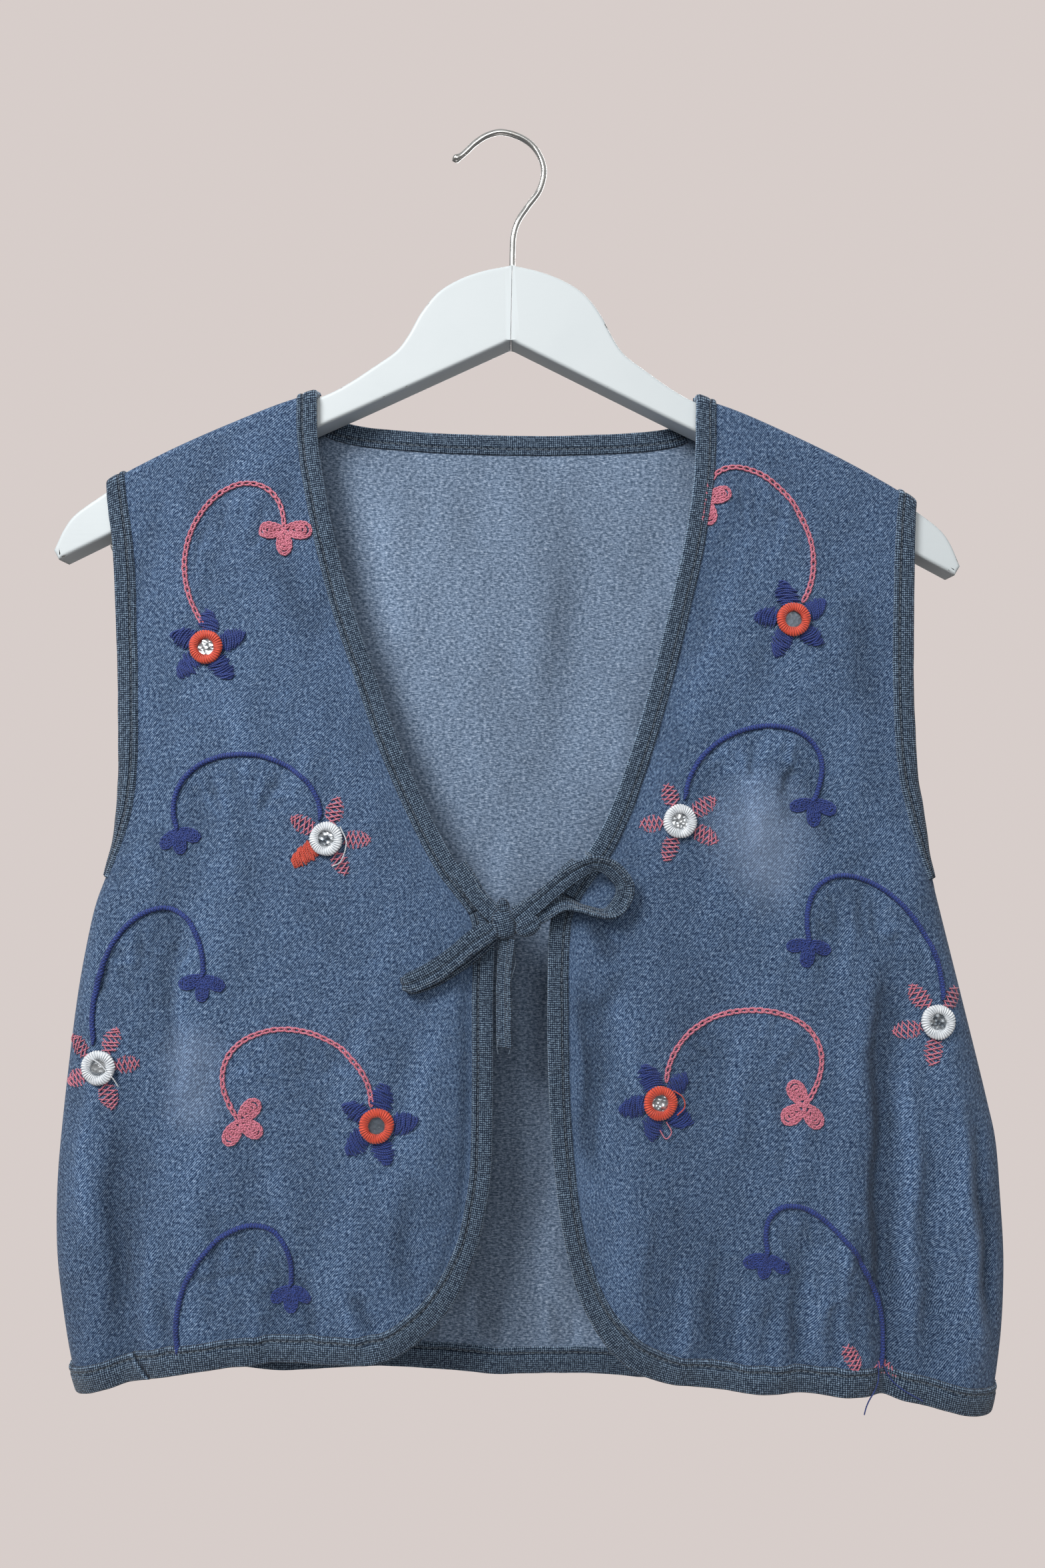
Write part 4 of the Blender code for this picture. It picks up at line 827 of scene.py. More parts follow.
def lengths(line):
    """Distance of each point of a polyline from its start."""
    return np.concatenate([[0.0], np.cumsum(np.linalg.norm(np.diff(line, axis=0), axis=1))])


def reached(line, value, axis):
    """Distance along a polyline at which a coordinate first reaches a value."""
    run, past = lengths(line), int(np.argmax(np.diff(np.sign(line[:, axis] - value)) != 0))
    share = (value - line[past, axis]) / (line[past + 1, axis] - line[past, axis])
    return run[past] + (run[past + 1] - run[past]) * share


def fold_reached(line, side):
    """Distance along a hem at which it meets the side fold."""
    inside = (line[:, 0] - outer_x(side, line[:, 1])) * -SIGN[side]
    past = int(np.argmax(np.abs(np.diff(np.sign(inside)))))
    run, share = lengths(line), inside[past] / (inside[past] - inside[past + 1])
    return run[past] + (run[past + 1] - run[past]) * share


def even_places(start, end, dense_start, dense_end, step=2.0):
    """Distances a step apart, closer together where the cloth turns over at an end."""
    count = int(round((end - start) / step))
    places = [np.linspace(start, end, count + 1)]
    if dense_start:
        places.append(start + ROLL_STEPS)
    if dense_end:
        places.append(end - ROLL_STEPS)
    return np.unique(np.concatenate(places).round(4))


binding_stitches = []


def binding(name, depth, line, places, turn, rule, facing, widths, ends=(), lap=NO_LAP):
    """A folded strip: both leaves and the fold carried along the edge, with uv along and across.

    From the distance lap onwards it lies over another strip, with a slanting end.
    """
    run = lengths(line)
    spots = np.stack([np.interp(places, run, line[:, k]) for k in range(2)], axis=1)
    ahead = np.stack([np.interp(places + 1.5, run, line[:, k]) - np.interp(places - 1.5, run, line[:, k])
                      for k in range(2)], axis=1)
    ahead /= np.linalg.norm(ahead, axis=1, keepdims=True)
    inward = np.stack([-ahead[:, 1], ahead[:, 0]], axis=1) * turn
    reach = np.concatenate([[0.0], np.geomspace(0.02, 24.0, 60)])
    x, z = rule(spots[:, :1], spots[:, 1:], spots[:, :1] + inward[:, :1] * reach,
                spots[:, 1:] + inward[:, 1:] * reach)
    lines = np.stack([x, depth(x, z), z], axis=-1)
    steps = np.concatenate([LEAF, [(0, 0, 0)]])
    steps = steps[None, :, 0] * widths[:, None] + steps[None, :, 1]
    middle = np.array([[np.interp(s, lengths(l), l[:, k]) for k in range(3)]
                       for s, l in zip(steps, lines)]).transpose(0, 2, 1)
    n = unit_normals(middle, facing)
    for station, direction in ends:
        n[station] = direction
    wave = 1.0 + 0.05 * np.sin(places / 2.9) + 0.045 * np.sin(places / 6.7 + 1.0)
    past = places[:, None] - lap - LAP_SLANT * np.abs(steps[:, :-1]) / widths[:, None]
    lift = (LEAF[None, :, 2] * wave[:, None] + LAP_RISE * soft_step(past / 0.8))[..., None]
    front, behind = middle[:, :-1] + n[:, :-1] * lift, middle[:, :-1] - n[:, :-1] * lift
    base, out = middle[:, [LINING_ROW]], n[:, [LINING_ROW]] * LEAF[0, 2]
    loop = np.concatenate([front, middle[:, -1:], behind[:, ::-1], base - out, base + out], axis=1)
    stations, count = loop.shape[:2]
    across = np.concatenate([steps[:, :-1], steps[:, -1:], -steps[:, -2::-1],
                             np.zeros((stations, 2))], axis=1)
    uv = np.stack([np.repeat(places[:, None], count, axis=1), across], axis=-1)
    faces = round_faces(stations, count)
    along = front[1, 5] - front[0, 5]
    if np.dot(np.cross(front[0, 4] - front[0, 5], along), n[0, 5]) > 0:
        faces = faces[:, ::-1]
    first, last = end_faces(stations, count)
    made = put_mesh(name + "_strip", loop.reshape(-1, 3), faces.tolist() + [first, last[::-1]],
                    uv.reshape(-1, 2), (STRIP,))
    # Just short of the lapping end the strip is painted darker as the lap's shadow, and the lapping end's
    # edge paler.
    wear_and_shade = LEAF_WEAR_AND_SHADE - 2.0 * np.exp(-((past + 0.5) / 0.6) ** 2) + 1.0 * np.exp(-((past - 0.9) / 0.5) ** 2)
    wear_and_shade = np.concatenate([wear_and_shade, np.ones((stations, 1)), wear_and_shade[:, ::-1], np.zeros((stations, 2))], axis=1)
    keep_values(made, "wear_and_shade", wear_and_shade)
    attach(made, "root")
    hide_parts(name)
    for face in (front, behind):
        out = (face - middle[:, :-1])[:, STITCH_ROW]
        out = out / np.linalg.norm(out, axis=1, keepdims=True)
        binding_stitches.append((face[:, STITCH_ROW], out))
    return made


def strip_finish():
    """Dark denim cut across its grain: rows of pale dots a millimetre apart on deep slate blue, paler on
    worn edges and darker with painted shade in the stitched groove and beside the lap.
    """
    made, add, where = finish_of("binding")
    split = add("ShaderNodeSeparateXYZ", {0: where["UV"]})
    blur = add("ShaderNodeTexNoise", {"Vector": where["UV"], "Scale": 0.9, "Detail": 2.0}).outputs["Fac"]
    shift = maths(add, "MULTIPLY", maths(add, "SUBTRACT", blur, 0.5), 2.6)
    rows = maths(add, "SINE", maths(add, "MULTIPLY_ADD", split.outputs["X"], 2 * math.pi / 1.02, shift))
    dots = maths(add, "SINE", maths(add, "MULTIPLY_ADD", split.outputs["Y"], 2 * math.pi / 0.98, shift))
    weave = add("ShaderNodeGroup", node_tree=WEAVE)
    made.node_tree.links.new(where["UV"], weave.inputs["Vector"])
    weave.inputs["Grain"].default_value = 1.45
    weave.inputs["Long"].default_value = 0.7
    mesh = maths(add, "ADD", maths(add, "MULTIPLY", rows, 0.40), maths(add, "MULTIPLY", dots, 0.36))
    mesh = maths(add, "ADD", mesh, maths(add, "MULTIPLY", weave.outputs["Pale"], 0.75))
    # Paler where the strip is worn, darker where shade is painted in the stitched groove and beside the lap.
    wear_and_shade = add("ShaderNodeAttribute", attribute_name="wear_and_shade").outputs["Fac"]
    mesh = maths(add, "ADD", mesh, maths(add, "MULTIPLY", wear_and_shade, 0.26))
    pale = spread_range(add, mesh, 0.30, 1.35, 0.0, 1.0)
    colour = blend(add, pale, (*BIND_DEEP, 1), (*BIND_PALE, 1))
    colour = add("ShaderNodeVectorMath", {0: colour, 1: spread_range(add, wear_and_shade, -1.2, 1.2, 0.5, 1.5)},
                 operation="MULTIPLY").outputs[0]
    wash = add("ShaderNodeGroup", node_tree=WASH)
    made.node_tree.links.new(where["UV"], wash.inputs["Vector"])
    made.node_tree.links.new(colour, wash.inputs["Colour"])
    bump = add("ShaderNodeBump", {"Strength": 0.5, "Distance": 0.0004, "Height": mesh})
    shader = add("ShaderNodeBsdfPrincipled", {"Base Color": wash.outputs["Colour"], "Roughness": 0.92,
                                              "Sheen Weight": 0.15, "Specular IOR Level": 0.2,
                                              "Normal": bump.outputs[0]})
    add("ShaderNodeOutputMaterial", {0: shader.outputs[0]})
    return made


STRIP = strip_finish()
strips = {"left": [], "right": [], "back": []}
for side in SIDES:
    line, turn = EDGE[side], SIGN[side]
    start = reached(line, shoulder_z(line[0, 0]) - 0.02, 1)
    tie, fold = reached(line, TIE_HEIGHT[side], 1), fold_reached(line, side)
    corner = lengths(line)[int(np.argmin(np.abs(line[:, 1] - CORNER_Z)))]

    def depth(x, z, side=side):
        return front_y(side, x, z)

    places = even_places(start, tie - SEAM_GAP, True, False)
    strips[side].append(binding("neck_binding_" + side, depth, line, places, turn, keep_shoulder,
                                (0, -1, 0), np.full(len(places), BIND_WIDTH), [(0, UP)]))
    lap = reached(line, HEM_LAP, 0) if side == "left" else NO_LAP
    places = even_places(tie + SEAM_GAP, fold, False, True)
    if side == "left":
        places = np.unique(np.concatenate([places, np.arange(lap - 1.0, lap + LAP_SLANT + 1.5, 0.3)]))
    widths = BIND_WIDTH + (HEM_WIDTH - BIND_WIDTH) * soft_step((places - corner - 30) / 60)
    strips[side].append(binding("hem_binding_" + side, depth, line, places, turn, keep_side(side),
                                (0, -1, 0), widths, [(-1, (turn, 0, 0))], lap))
    line = OUTER[side][:, ::-1]
    start = reached(line, shoulder_z(line[0, 0]) - 0.02, 1)
    end = reached(line, ARMHOLE_LOW[side] + SEAM_GAP, 1)
    places = even_places(start, end, True, False)
    for part, form, facing in (("armhole_front_", depth, (0, -1, 0)),
                               ("armhole_back_", back_y, (0, 1, 0))):
        owner = side if part == "armhole_front_" else "back"
        strips[owner].append(binding(part + side, form, line, places, -turn, keep_shoulder, facing,
                                     np.full(len(places), BIND_WIDTH), [(0, UP)]))
places = even_places(reached(NECK_LINE, NECK_STRIP[0], 0), reached(NECK_LINE, NECK_STRIP[1], 0),
                     False, False)
strips["back"].append(binding("neck_binding_back", back_y, NECK_LINE, places, -1,
                              keep_straight, (0, 1, 0),
                              np.full(len(places), BIND_WIDTH)))
places = even_places(fold_reached(HEM_LINE, "left"), fold_reached(HEM_LINE, "right"), True, True)
strips["back"].append(binding("hem_binding_back", back_y, HEM_LINE, places, 1, keep_both_sides,
                              (0, 1, 0), np.full(len(places), HEM_WIDTH),
                              [(0, (-1, 0, 0)), (-1, (1, 0, 0))]))


# Thread work is made of tubes a fraction of a millimetre thick, all carried along short lines.
def tubes(lines, ups, radius, sides=6, closed=False):
    """Tubes round many lines of equal point count: points, faces and uv in millimetres."""
    lines = np.asarray(lines, float)
    ahead = (np.roll(lines, -1, axis=1) - np.roll(lines, 1, axis=1)) if closed else \
        np.gradient(lines, axis=1)
    ahead /= np.maximum(np.linalg.norm(ahead, axis=-1, keepdims=True), 1e-9)
    across = np.cross(ahead, np.broadcast_to(ups, lines.shape))
    across /= np.maximum(np.linalg.norm(across, axis=-1, keepdims=True), 1e-9)
    over = np.cross(across, ahead)
    turn = np.linspace(0.0, 2.0 * np.pi, sides, endpoint=False)
    thick = np.broadcast_to(radius, lines.shape[:2])[..., None, None]
    verts = lines[:, :, None] + thick * (across[:, :, None] * np.cos(turn)[:, None]
                                         + over[:, :, None] * np.sin(turn)[:, None])
    many, count = lines.shape[:2]
    s, i, k = np.meshgrid(np.arange(many), np.arange(count if closed else count - 1),
                          np.arange(sides), indexing="ij")
    here, there = (s * count + i) * sides, (s * count + (i + 1) % count) * sides
    faces = np.stack([here + k, there + k, there + (k + 1) % sides, here + (k + 1) % sides], axis=-1)
    run = np.cumsum(np.linalg.norm(np.diff(lines, axis=1, prepend=lines[:, :1]), axis=-1), axis=1)
    uv = np.stack(np.broadcast_arrays(run[..., None] + np.arange(many)[:, None, None] * 1.7,
                                      turn / (2 * np.pi)), axis=-1)
    return verts.reshape(-1, 3), faces.reshape(-1, 4), uv.reshape(-1, 2)


def put_tubes(name, parts, looks):
    """One object from several sets of tubes, each with the index of its thread's look."""
    start, verts, faces, uvs, look = 0, [], [], [], []
    for (points, cells, uv), kind in parts:
        verts.append(points)
        faces.append(cells + start)
        uvs.append(uv)
        look.append(np.full(len(cells), kind))
        start += len(points)
    made = put_mesh(name, np.concatenate(verts), np.concatenate(faces).tolist(), np.concatenate(uvs),
                    looks, np.concatenate(look))
    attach(made, "root")
    return made


def twist_group():
    """Plied thread: slanting grooves round a tube whose uv runs along it in mm and once round it."""
    tree, add = group("twist", [("Vector", "Vector", None), ("Turns", "Float", 0.9)],
                      [("Groove", "Float")])
    came = add("NodeGroupInput")
    split = add("ShaderNodeSeparateXYZ", {0: came.outputs["Vector"]})
    along = maths(add, "MULTIPLY", split.outputs["X"], came.outputs["Turns"])
    turn = maths(add, "ADD", along, maths(add, "MULTIPLY", split.outputs["Y"], 2.0))
    wave = maths(add, "ABSOLUTE", maths(add, "SINE", maths(add, "MULTIPLY", turn, math.pi)))
    add("NodeGroupOutput", {"Groove": wave})
    return tree


TWIST = twist_group()


def thread_finish(name, deep, bright, turns=0.9, roughness=0.55, sheen=0.35):
    """Cotton thread: the grooves of the twist painted darker than the crowns as shade, and slow unevenness
    of dye.
    """
    made, add, where = finish_of(name)
    twist = add("ShaderNodeGroup", node_tree=TWIST)
    made.node_tree.links.new(where["UV"], twist.inputs["Vector"])
    twist.inputs["Turns"].default_value = turns
    uneven = add("ShaderNodeTexNoise", {"Vector": where["Object"], "Scale": 420.0,
                                        "Detail": 2.0}).outputs["Fac"]
    # The twist's grooves are painted darker than its crowns as shade, mixed with the dye's slow unevenness.
    level = maths(add, "ADD", maths(add, "MULTIPLY", twist.outputs["Groove"], 0.6),
                  maths(add, "MULTIPLY", uneven, 0.55))
    colour = blend(add, spread_range(add, level, 0.15, 0.95), (*deep, 1), (*bright, 1))
    bump = add("ShaderNodeBump", {"Strength": 0.7, "Distance": 0.0003,
                                  "Height": twist.outputs["Groove"]})
    shader = add("ShaderNodeBsdfPrincipled", {"Base Color": colour, "Roughness": roughness,
                                              "Sheen Weight": sheen, "Specular IOR Level": 0.35,
                                              "Normal": bump.outputs[0]})
    add("ShaderNodeOutputMaterial", {0: shader.outputs[0]})
    return made


PINK = thread_finish("pink_thread", (0.26, 0.032, 0.060), (0.74, 0.235, 0.325))
NAVY = thread_finish("navy_thread", (0.002, 0.005, 0.034), (0.028, 0.060, 0.275), sheen=0.14)
RED = thread_finish("red_thread", (0.24, 0.014, 0.008), (0.74, 0.085, 0.040))
WHITE = thread_finish("white_thread", (0.26, 0.30, 0.34), (0.84, 0.87, 0.90))
PALE = thread_finish("pale_thread", (0.05, 0.08, 0.12), (0.22, 0.29, 0.37))


# Shoulder and side seams: front and back are sewn edge to edge, which leaves a narrow ridge of
# denim outside. It runs on over the ends of the bindings as dark strip.
SEAM_RADIUS, SEAM_LIFT = 0.75, 0.1
STRIP_SEAM_RADIUS, STRIP_SEAM_LIFT = 0.9, 1.2
SEAM_SIDES = 10
ARMHOLE_TOP = -176.0
HEM_CLEAR = 0.8


def seam_ridges(side):
    """Round ridges over the seam's gap: along the shoulder, and down the side fold to the hem."""
    turn = SIGN[side]
    neck, arm = EDGE[side][0, 0], float(outer_x(side, ARMHOLE_TOP))
    armhole, hem = ARMHOLE_LOW[side] - 1.0, EDGE[side][-1, 1]
    parts = []
    for look, lift, radius, start, end in (
            (0, SEAM_LIFT, SEAM_RADIUS, neck + turn * BIND_WIDTH, arm - turn * BIND_WIDTH),
            (1, STRIP_SEAM_LIFT, STRIP_SEAM_RADIUS, neck, neck + turn * BIND_WIDTH),
            (1, STRIP_SEAM_LIFT, STRIP_SEAM_RADIUS, arm - turn * BIND_WIDTH, arm)):
        x = np.linspace(start, end, 60)
        ridge = np.stack([x, 0 * x, shoulder_z(x) + lift], axis=-1)
        parts.append((tubes(ridge[None], (0.0, -1.0, 0.0), radius, SEAM_SIDES), look))
    for look, lift, radius, start, end in (
            (0, SEAM_LIFT, SEAM_RADIUS, armhole, hem + HEM_WIDTH),
            (1, STRIP_SEAM_LIFT, STRIP_SEAM_RADIUS, hem + HEM_WIDTH, hem + HEM_CLEAR)):
        z = np.linspace(start, end, 100)
        y = (table(FRONT_EDGE_DEPTH, z) + table(BACK_EDGE_DEPTH, z)) / 2
        ridge = np.stack([outer_x(side, z) + turn * lift, y, z], axis=-1)
        parts.append((tubes(ridge[None], (0.0, -1.0, 0.0), radius, SEAM_SIDES), look))
    return parts


closed_seams = [put_tubes("seams_" + side, seam_ridges(side), (FACE, STRIP))
                for side in SIDES]


# Sewing: the row of pale machine stitches that holds each binding down, front and reverse.
STITCH_PITCH, STITCH_LENGTH = 3.1, 2.4
BINDING_THREAD_RADIUS, TIE_THREAD_RADIUS = 0.19, 0.22


def stitch_row(line, out):
    """Short lines a pitch apart along a line, their ends dipping into the cloth."""
    run = lengths(line)
    begin = np.arange(0.6, run[-1] - STITCH_PITCH, STITCH_PITCH)
    at = begin[:, None] + np.array([0.0, 0.2, 0.5, 0.8, 1.0]) * STITCH_LENGTH
    spots = np.stack([np.interp(at, run, line[:, k]) for k in range(3)], axis=-1)
    ups = np.stack([np.interp(at, run, out[:, k]) for k in range(3)], axis=-1)
    return spots + ups * np.array([-0.22, 0.12, 0.2, 0.12, -0.22])[:, None], ups


def sewn(rows, radius):
    """Tubes along all the stitches of several rows."""
    lines, ups = (np.concatenate([row[k] for row in rows]) for k in range(2))
    return tubes(lines, ups, radius, 5)


binding_rows = [stitch_row(line, out) for line, out in binding_stitches]
binding_thread = put_tubes("binding_stitches", [(sewn(binding_rows, BINDING_THREAD_RADIUS), 0)],
                           (PALE,))


# Embroidered stems and leaves: six-strand cotton worked through the cloth. Pink lines are chain
# stitch, navy ones a thick rope stitch, and each leaf is three rings of small chain.
def on_front(side, x, z, lift):
    """Points on a front's outer face, raised along its normal (dy/dx, -1, dy/dz), and the normals."""
    step = 0.4
    y = front_y(side, x, z)
    n = np.stack([(front_y(side, x + step, z) - front_y(side, x - step, z)) / (2 * step),
                  np.full(np.shape(y), -1.0),
                  (front_y(side, x, z + step) - front_y(side, x, z - step)) / (2 * step)], axis=-1)
    n /= np.linalg.norm(n, axis=-1, keepdims=True)
    return np.stack([x, y, z], axis=-1) + n * (CLOTH_HALF + np.asarray(lift))[..., None], n


def follow(line, along, across):
    """x and z at a distance along a flat line and a distance to its left."""
    run = lengths(line)
    x, z = np.interp(along, run, line[:, 0]), np.interp(along, run, line[:, 1])
    dx = np.interp(along + 0.8, run, line[:, 0]) - np.interp(along - 0.8, run, line[:, 0])
    dz = np.interp(along + 0.8, run, line[:, 1]) - np.interp(along - 0.8, run, line[:, 1])
    size = np.maximum(np.hypot(dx, dz), 1e-6)
    return x - dz / size * across, z + dx / size * across


def chain_stitch(side, line, pitch, reach, half, radius, dice):
    """Closed teardrop loops a pitch apart, each starting inside the one before it."""
    begin = np.arange(0.0, max(lengths(line)[-1] - 0.6 * reach, 0.1), pitch)[:, None]
    turn = np.linspace(0.0, 2.0 * np.pi, 14, endpoint=False)
    far = (1.0 - np.cos(turn)) / 2.0
    wide = half * dice.uniform(0.85, 1.12, begin.shape)
    x, z = follow(line, begin + reach * far, wide * np.sin(turn) * (0.55 + 0.6 * far))
    lift = radius * (0.55 + 0.75 * far) + 0 * x
    points, n = on_front(side, x, z, lift)
    return tubes(points, n, radius, 6, True)


def rope_stitch(side, line, dice):
    """Fat slanting stitches that lap each other like the strands of a rope."""
    begin = np.arange(0.0, lengths(line)[-1] - 2.0, 2.05)[:, None]
    t = np.linspace(0.0, 1.0, 8)
    slant = 0.78 * np.cos(np.pi * t) * dice.uniform(0.85, 1.1, begin.shape)
    x, z = follow(line, np.clip(begin + 5.6 * t - 0.8, 0, lengths(line)[-1]), slant)
    points, n = on_front(side, x, z, 0.15 + 0.85 * np.sin(np.pi * t) + 0 * x)
    return tubes(points, n, 0.78 * (0.45 + 0.55 * np.sin(np.pi * t) ** 0.5), 7)


def leaf(side, tip, angle, length, width, dice):
    """A leaf from its base outwards: three rings of small chain stitch, one inside the other."""
    turn = np.linspace(0.0, 2.0 * np.pi, 60)
    ax, az = math.cos(math.radians(angle)), math.sin(math.radians(angle))
    parts = []
    for scale in (1.0, 0.58, 0.2):
        lengthways = length * (0.5 - 0.5 * scale * np.cos(turn)) + 0.6
        sideways = (width / 2 - 0.7) * scale * np.sin(turn) * (1.0 - 0.22 * np.cos(turn))
        ring = np.stack([tip[0] + ax * lengthways - az * sideways,
                         tip[1] + az * lengthways + ax * sideways], axis=1)
        parts.append(chain_stitch(side, ring, 2.3, 3.1, 0.62, 0.5, dice))
    return parts


stem_parts = {side: [] for side in SIDES}
dice = np.random.default_rng(11)
for side, thread, sizes, heading, spread, shown in STEMS.values():
    line = smooth_line(arch(*sizes), 0.5)
    kind = 0 if thread == "pink" else 1
    stem = chain_stitch(side, line, 3.5, 4.6, 1.0, 0.5, dice) if kind == 0 else \
        rope_stitch(side, line, dice)
    stem_parts[side].append((stem, kind))
    for place in shown:
        angle = heading + place * spread + dice.normal(0.0, 4.0)
        length, width = np.array(LEAF_SIZES[thread]) * dice.uniform(0.94, 1.08)
        stem_parts[side] += [(part, kind) for part in
                             leaf(side, line[-1], angle, length, width, dice)]
stems = {side: put_tubes("stems_" + side, stem_parts[side], (PINK, NAVY))
         for side in SIDES}


# Mirror flowers: a thin round mirror held down by a ring of close thread wraps. Round it are four or
# five petals: satin stitch across the petal in navy, or crossed slanting stitches in pink.
RING_RADIUS, RING_TUBE, RING_FLATTEN, RING_LIFT, MIRROR_RADIUS = 6.0, 2.1, 0.62, 1.55, 6.4
# Wraps of thread round a ring, and points along the ring and round its tube
RING_WRAPS, RING_STATIONS, RING_SIDES = 38, 276, 16
# Distance of a petal's foot from the middle of the mirror, and the angle between two petals
PETAL_FOOT, PETAL_TURN = 7.2, 72.0
# Side, middle x and height, ring's thread, kind of petal, direction of the first petal in degrees
# and number of petals, a fifth of a turn apart
FLOWERS = {
    "left_1": ("left", -137.9, -256.6, "red", "satin", 15, 5),
    "left_2": ("left", -77.4, -347.8, "white", "cross", 5, 5),
    "left_3": ("left", -182.3, -457.4, "white", "cross", 0, 5),
    "left_4": ("left", -50.4, -481.5, "red", "satin", 0, 5),
    "right_1": ("right", 144.5, -238.5, "red", "satin", 30, 5),
    "right_2": ("right", 91.1, -336.6, "white", "cross", 40, 5),
    "right_3": ("right", 213.8, -429.1, "white", "cross", 50, 4),
    "right_4": ("right", 82.8, -469.2, "red", "satin", 40, 5),
}
# Length of a petal beyond the ring, and its width
PETAL_SIZES = {"satin": (11.3, 9.5), "cross": (13.2, 8.6)}
# The petals cut off by the hem at the right: foot x and height, direction, length, width
HEM_PETALS = [(178.5, -593.5, 117, 15, 7.5), (187, -592, -27, 13, 7.5)]
# One petal was worked again in red, in close stitches
ODD_PETAL = ("left_2", 3)
RING_LOOKS = {"red": RED, "white": WHITE}
# How much darker and duller a mirror's silvering is made, where it isn't clear
MIRROR_DARKENING = {"left_4": 1.0, "right_1": 0.85, "left_2": 0.35, "right_3": 0.4}


def petal_points(side, foot, angle, along, across, lift):
    """Points on the cloth from distances along a petal's axis and to its left."""
    ax, az = math.cos(math.radians(angle)), math.sin(math.radians(angle))
    return on_front(side, foot[0] + ax * along - az * across, foot[1] + az * along + ax * across, lift)


def satin_petal(side, foot, angle, length, width, dice):
    """Close slanting strokes across a petal, a little uneven, in two layers out of step."""
    sets = []
    for lift, shift in ((0.0, 0.5), (0.5, 0.0)):
        share = (np.arange(0.03, 0.99, 1.2 / length) + shift * 1.2 / length)[:, None]
        half = width / 2 * np.sin(np.pi * (0.24 + 0.64 * share)) ** 0.75
        half = half * dice.uniform(0.82, 1.2, share.shape)
        s = np.linspace(-1.0, 1.0, 9)
        bow = 1.1 * s - 0.7 * s ** 2 + 0.3 * np.sin(2.6 * s + dice.uniform(0, 6, share.shape))
        along = share * length + bow + dice.normal(0, 0.2, share.shape) * s
        height = lift + 0.45 * (1 - s ** 4) + 0 * along
        points, n = petal_points(side, foot, angle, along, half * s, height)
        sets.append(tubes(points, n, 0.50 * (0.55 + 0.45 * (1 - s ** 4)), 6))
    return sets


def cross_petal(side, foot, angle, length, width, dice):
    """Two layers of slanting strokes that cross, with the denim showing between them."""
    sets = []
    for lean, lift in ((1.0, 0.05), (-1.0, 0.5)):
        share = np.arange(0.02, 0.86, 2.15 / length)[:, None] + dice.normal(0, 0.015)
        reach = np.clip(share + 0.24, 0.0, 1.0)
        half = [width / 2 * np.sin(np.pi * np.clip(0.12 + 0.83 * q, 0, 1)) ** 0.8
                for q in (share, reach)]
        s = np.linspace(0.0, 1.0, 7)
        along = (share + (reach - share) * s) * length + dice.normal(0, 0.2, share.shape)
        across = lean * (-half[0] + (half[0] + half[1]) * s) * dice.uniform(0.9, 1.1, share.shape)
        points, n = petal_points(side, foot, angle, along, across,
                                 lift + 0.35 * np.sin(np.pi * s) + 0 * along)
        sets.append(tubes(points, n, 0.38 * (0.6 + 0.4 * np.sin(np.pi * s)), 6))
    return sets


petal_parts = {side: [] for side in SIDES}
dice = np.random.default_rng(23)
for name, (side, x, z, ring, stitch, first, count) in FLOWERS.items():
    for place in range(count):
        angle = first + PETAL_TURN * place + dice.normal(0.0, 4.0)
        length, width = np.array(PETAL_SIZES[stitch]) * dice.uniform(0.94, 1.06)
        foot = (x + PETAL_FOOT * math.cos(math.radians(angle)),
                z + PETAL_FOOT * math.sin(math.radians(angle)))
        odd = (name, place) == ODD_PETAL
        work = satin_petal if stitch == "satin" or odd else cross_petal
        kind = 1 if stitch == "satin" else 2 * odd
        petal_parts[side] += [(part, kind) for part in work(side, foot, angle, length, width, dice)]
for x, z, angle, length, width in HEM_PETALS:
    petal_parts["right"] += [(part, 0) for part in
                             cross_petal("right", (x, z), angle, length, width, dice)]
petals = {side: put_tubes("petals_" + side, petal_parts[side], (PINK, NAVY, RED))
          for side in SIDES}


def mirror_finish():
    """Old silvered glass, a little crinkled and cloudy, and made darker and duller by each mirror's own
    amount.
    """
    made, add, where = finish_of("mirror")
    crinkle = add("ShaderNodeTexVoronoi", {"Vector": where["Object"], "Scale": 520.0}).outputs["Distance"]
    cloud = add("ShaderNodeTexNoise", {"Vector": where["Object"], "Scale": 380.0,
                                       "Detail": 3.0}).outputs["Fac"]
    dim = add("ShaderNodeAttribute", attribute_name="mirror_darkening").outputs["Fac"]
    clear = spread_range(add, maths(add, "SUBTRACT", cloud, maths(add, "MULTIPLY", dim, 0.5)), 0.2, 0.6)
    colour = blend(add, clear, (0.135, 0.16, 0.19, 1), (0.76, 0.79, 0.81, 1))
    height = maths(add, "MULTIPLY", crinkle, maths(add, "SUBTRACT", 1.2, dim))
    bump = add("ShaderNodeBump", {"Strength": 1.0, "Distance": 0.0005, "Height": height})
    shader = add("ShaderNodeBsdfPrincipled", {"Base Color": colour, "Metallic": 0.85,
                                              "Roughness": spread_range(add, dim, 0.0, 1.0, 0.2, 0.55),
                                              "Normal": bump.outputs[0]})
    add("ShaderNodeOutputMaterial", {0: shader.outputs[0]})
    return made


def flower_seat(side, x, z):
    """Middle of a mirror's place, its flat axes, its normal, and how far the cloth stands there."""
    def point(a, b):
        return np.array([a, float(front_y(side, np.array(a), np.array(b))), b])

    u, v = point(x + 4.0, z) - point(x - 4.0, z), point(x, z + 4.0) - point(x, z - 4.0)
    n = np.cross(u, v)
    n *= -np.sign(n[1]) / np.linalg.norm(n)
    u /= np.linalg.norm(u)
    v = np.cross(n, u)
    turn = np.radians(np.arange(0, 360, 15))[:, None]
    proud = 0.0
    for radius in (RING_RADIUS, RING_RADIUS + RING_TUBE):
        flat = point(x, z) + radius * (u * np.cos(turn) + v * np.sin(turn))
        height = front_y(side, flat[:, 0], flat[:, 2])
        proud = max(proud, float(np.max((height - flat[:, 1]) * n[1])))
    return point(x, z) + n * (proud + CLOTH_HALF), u, v, n


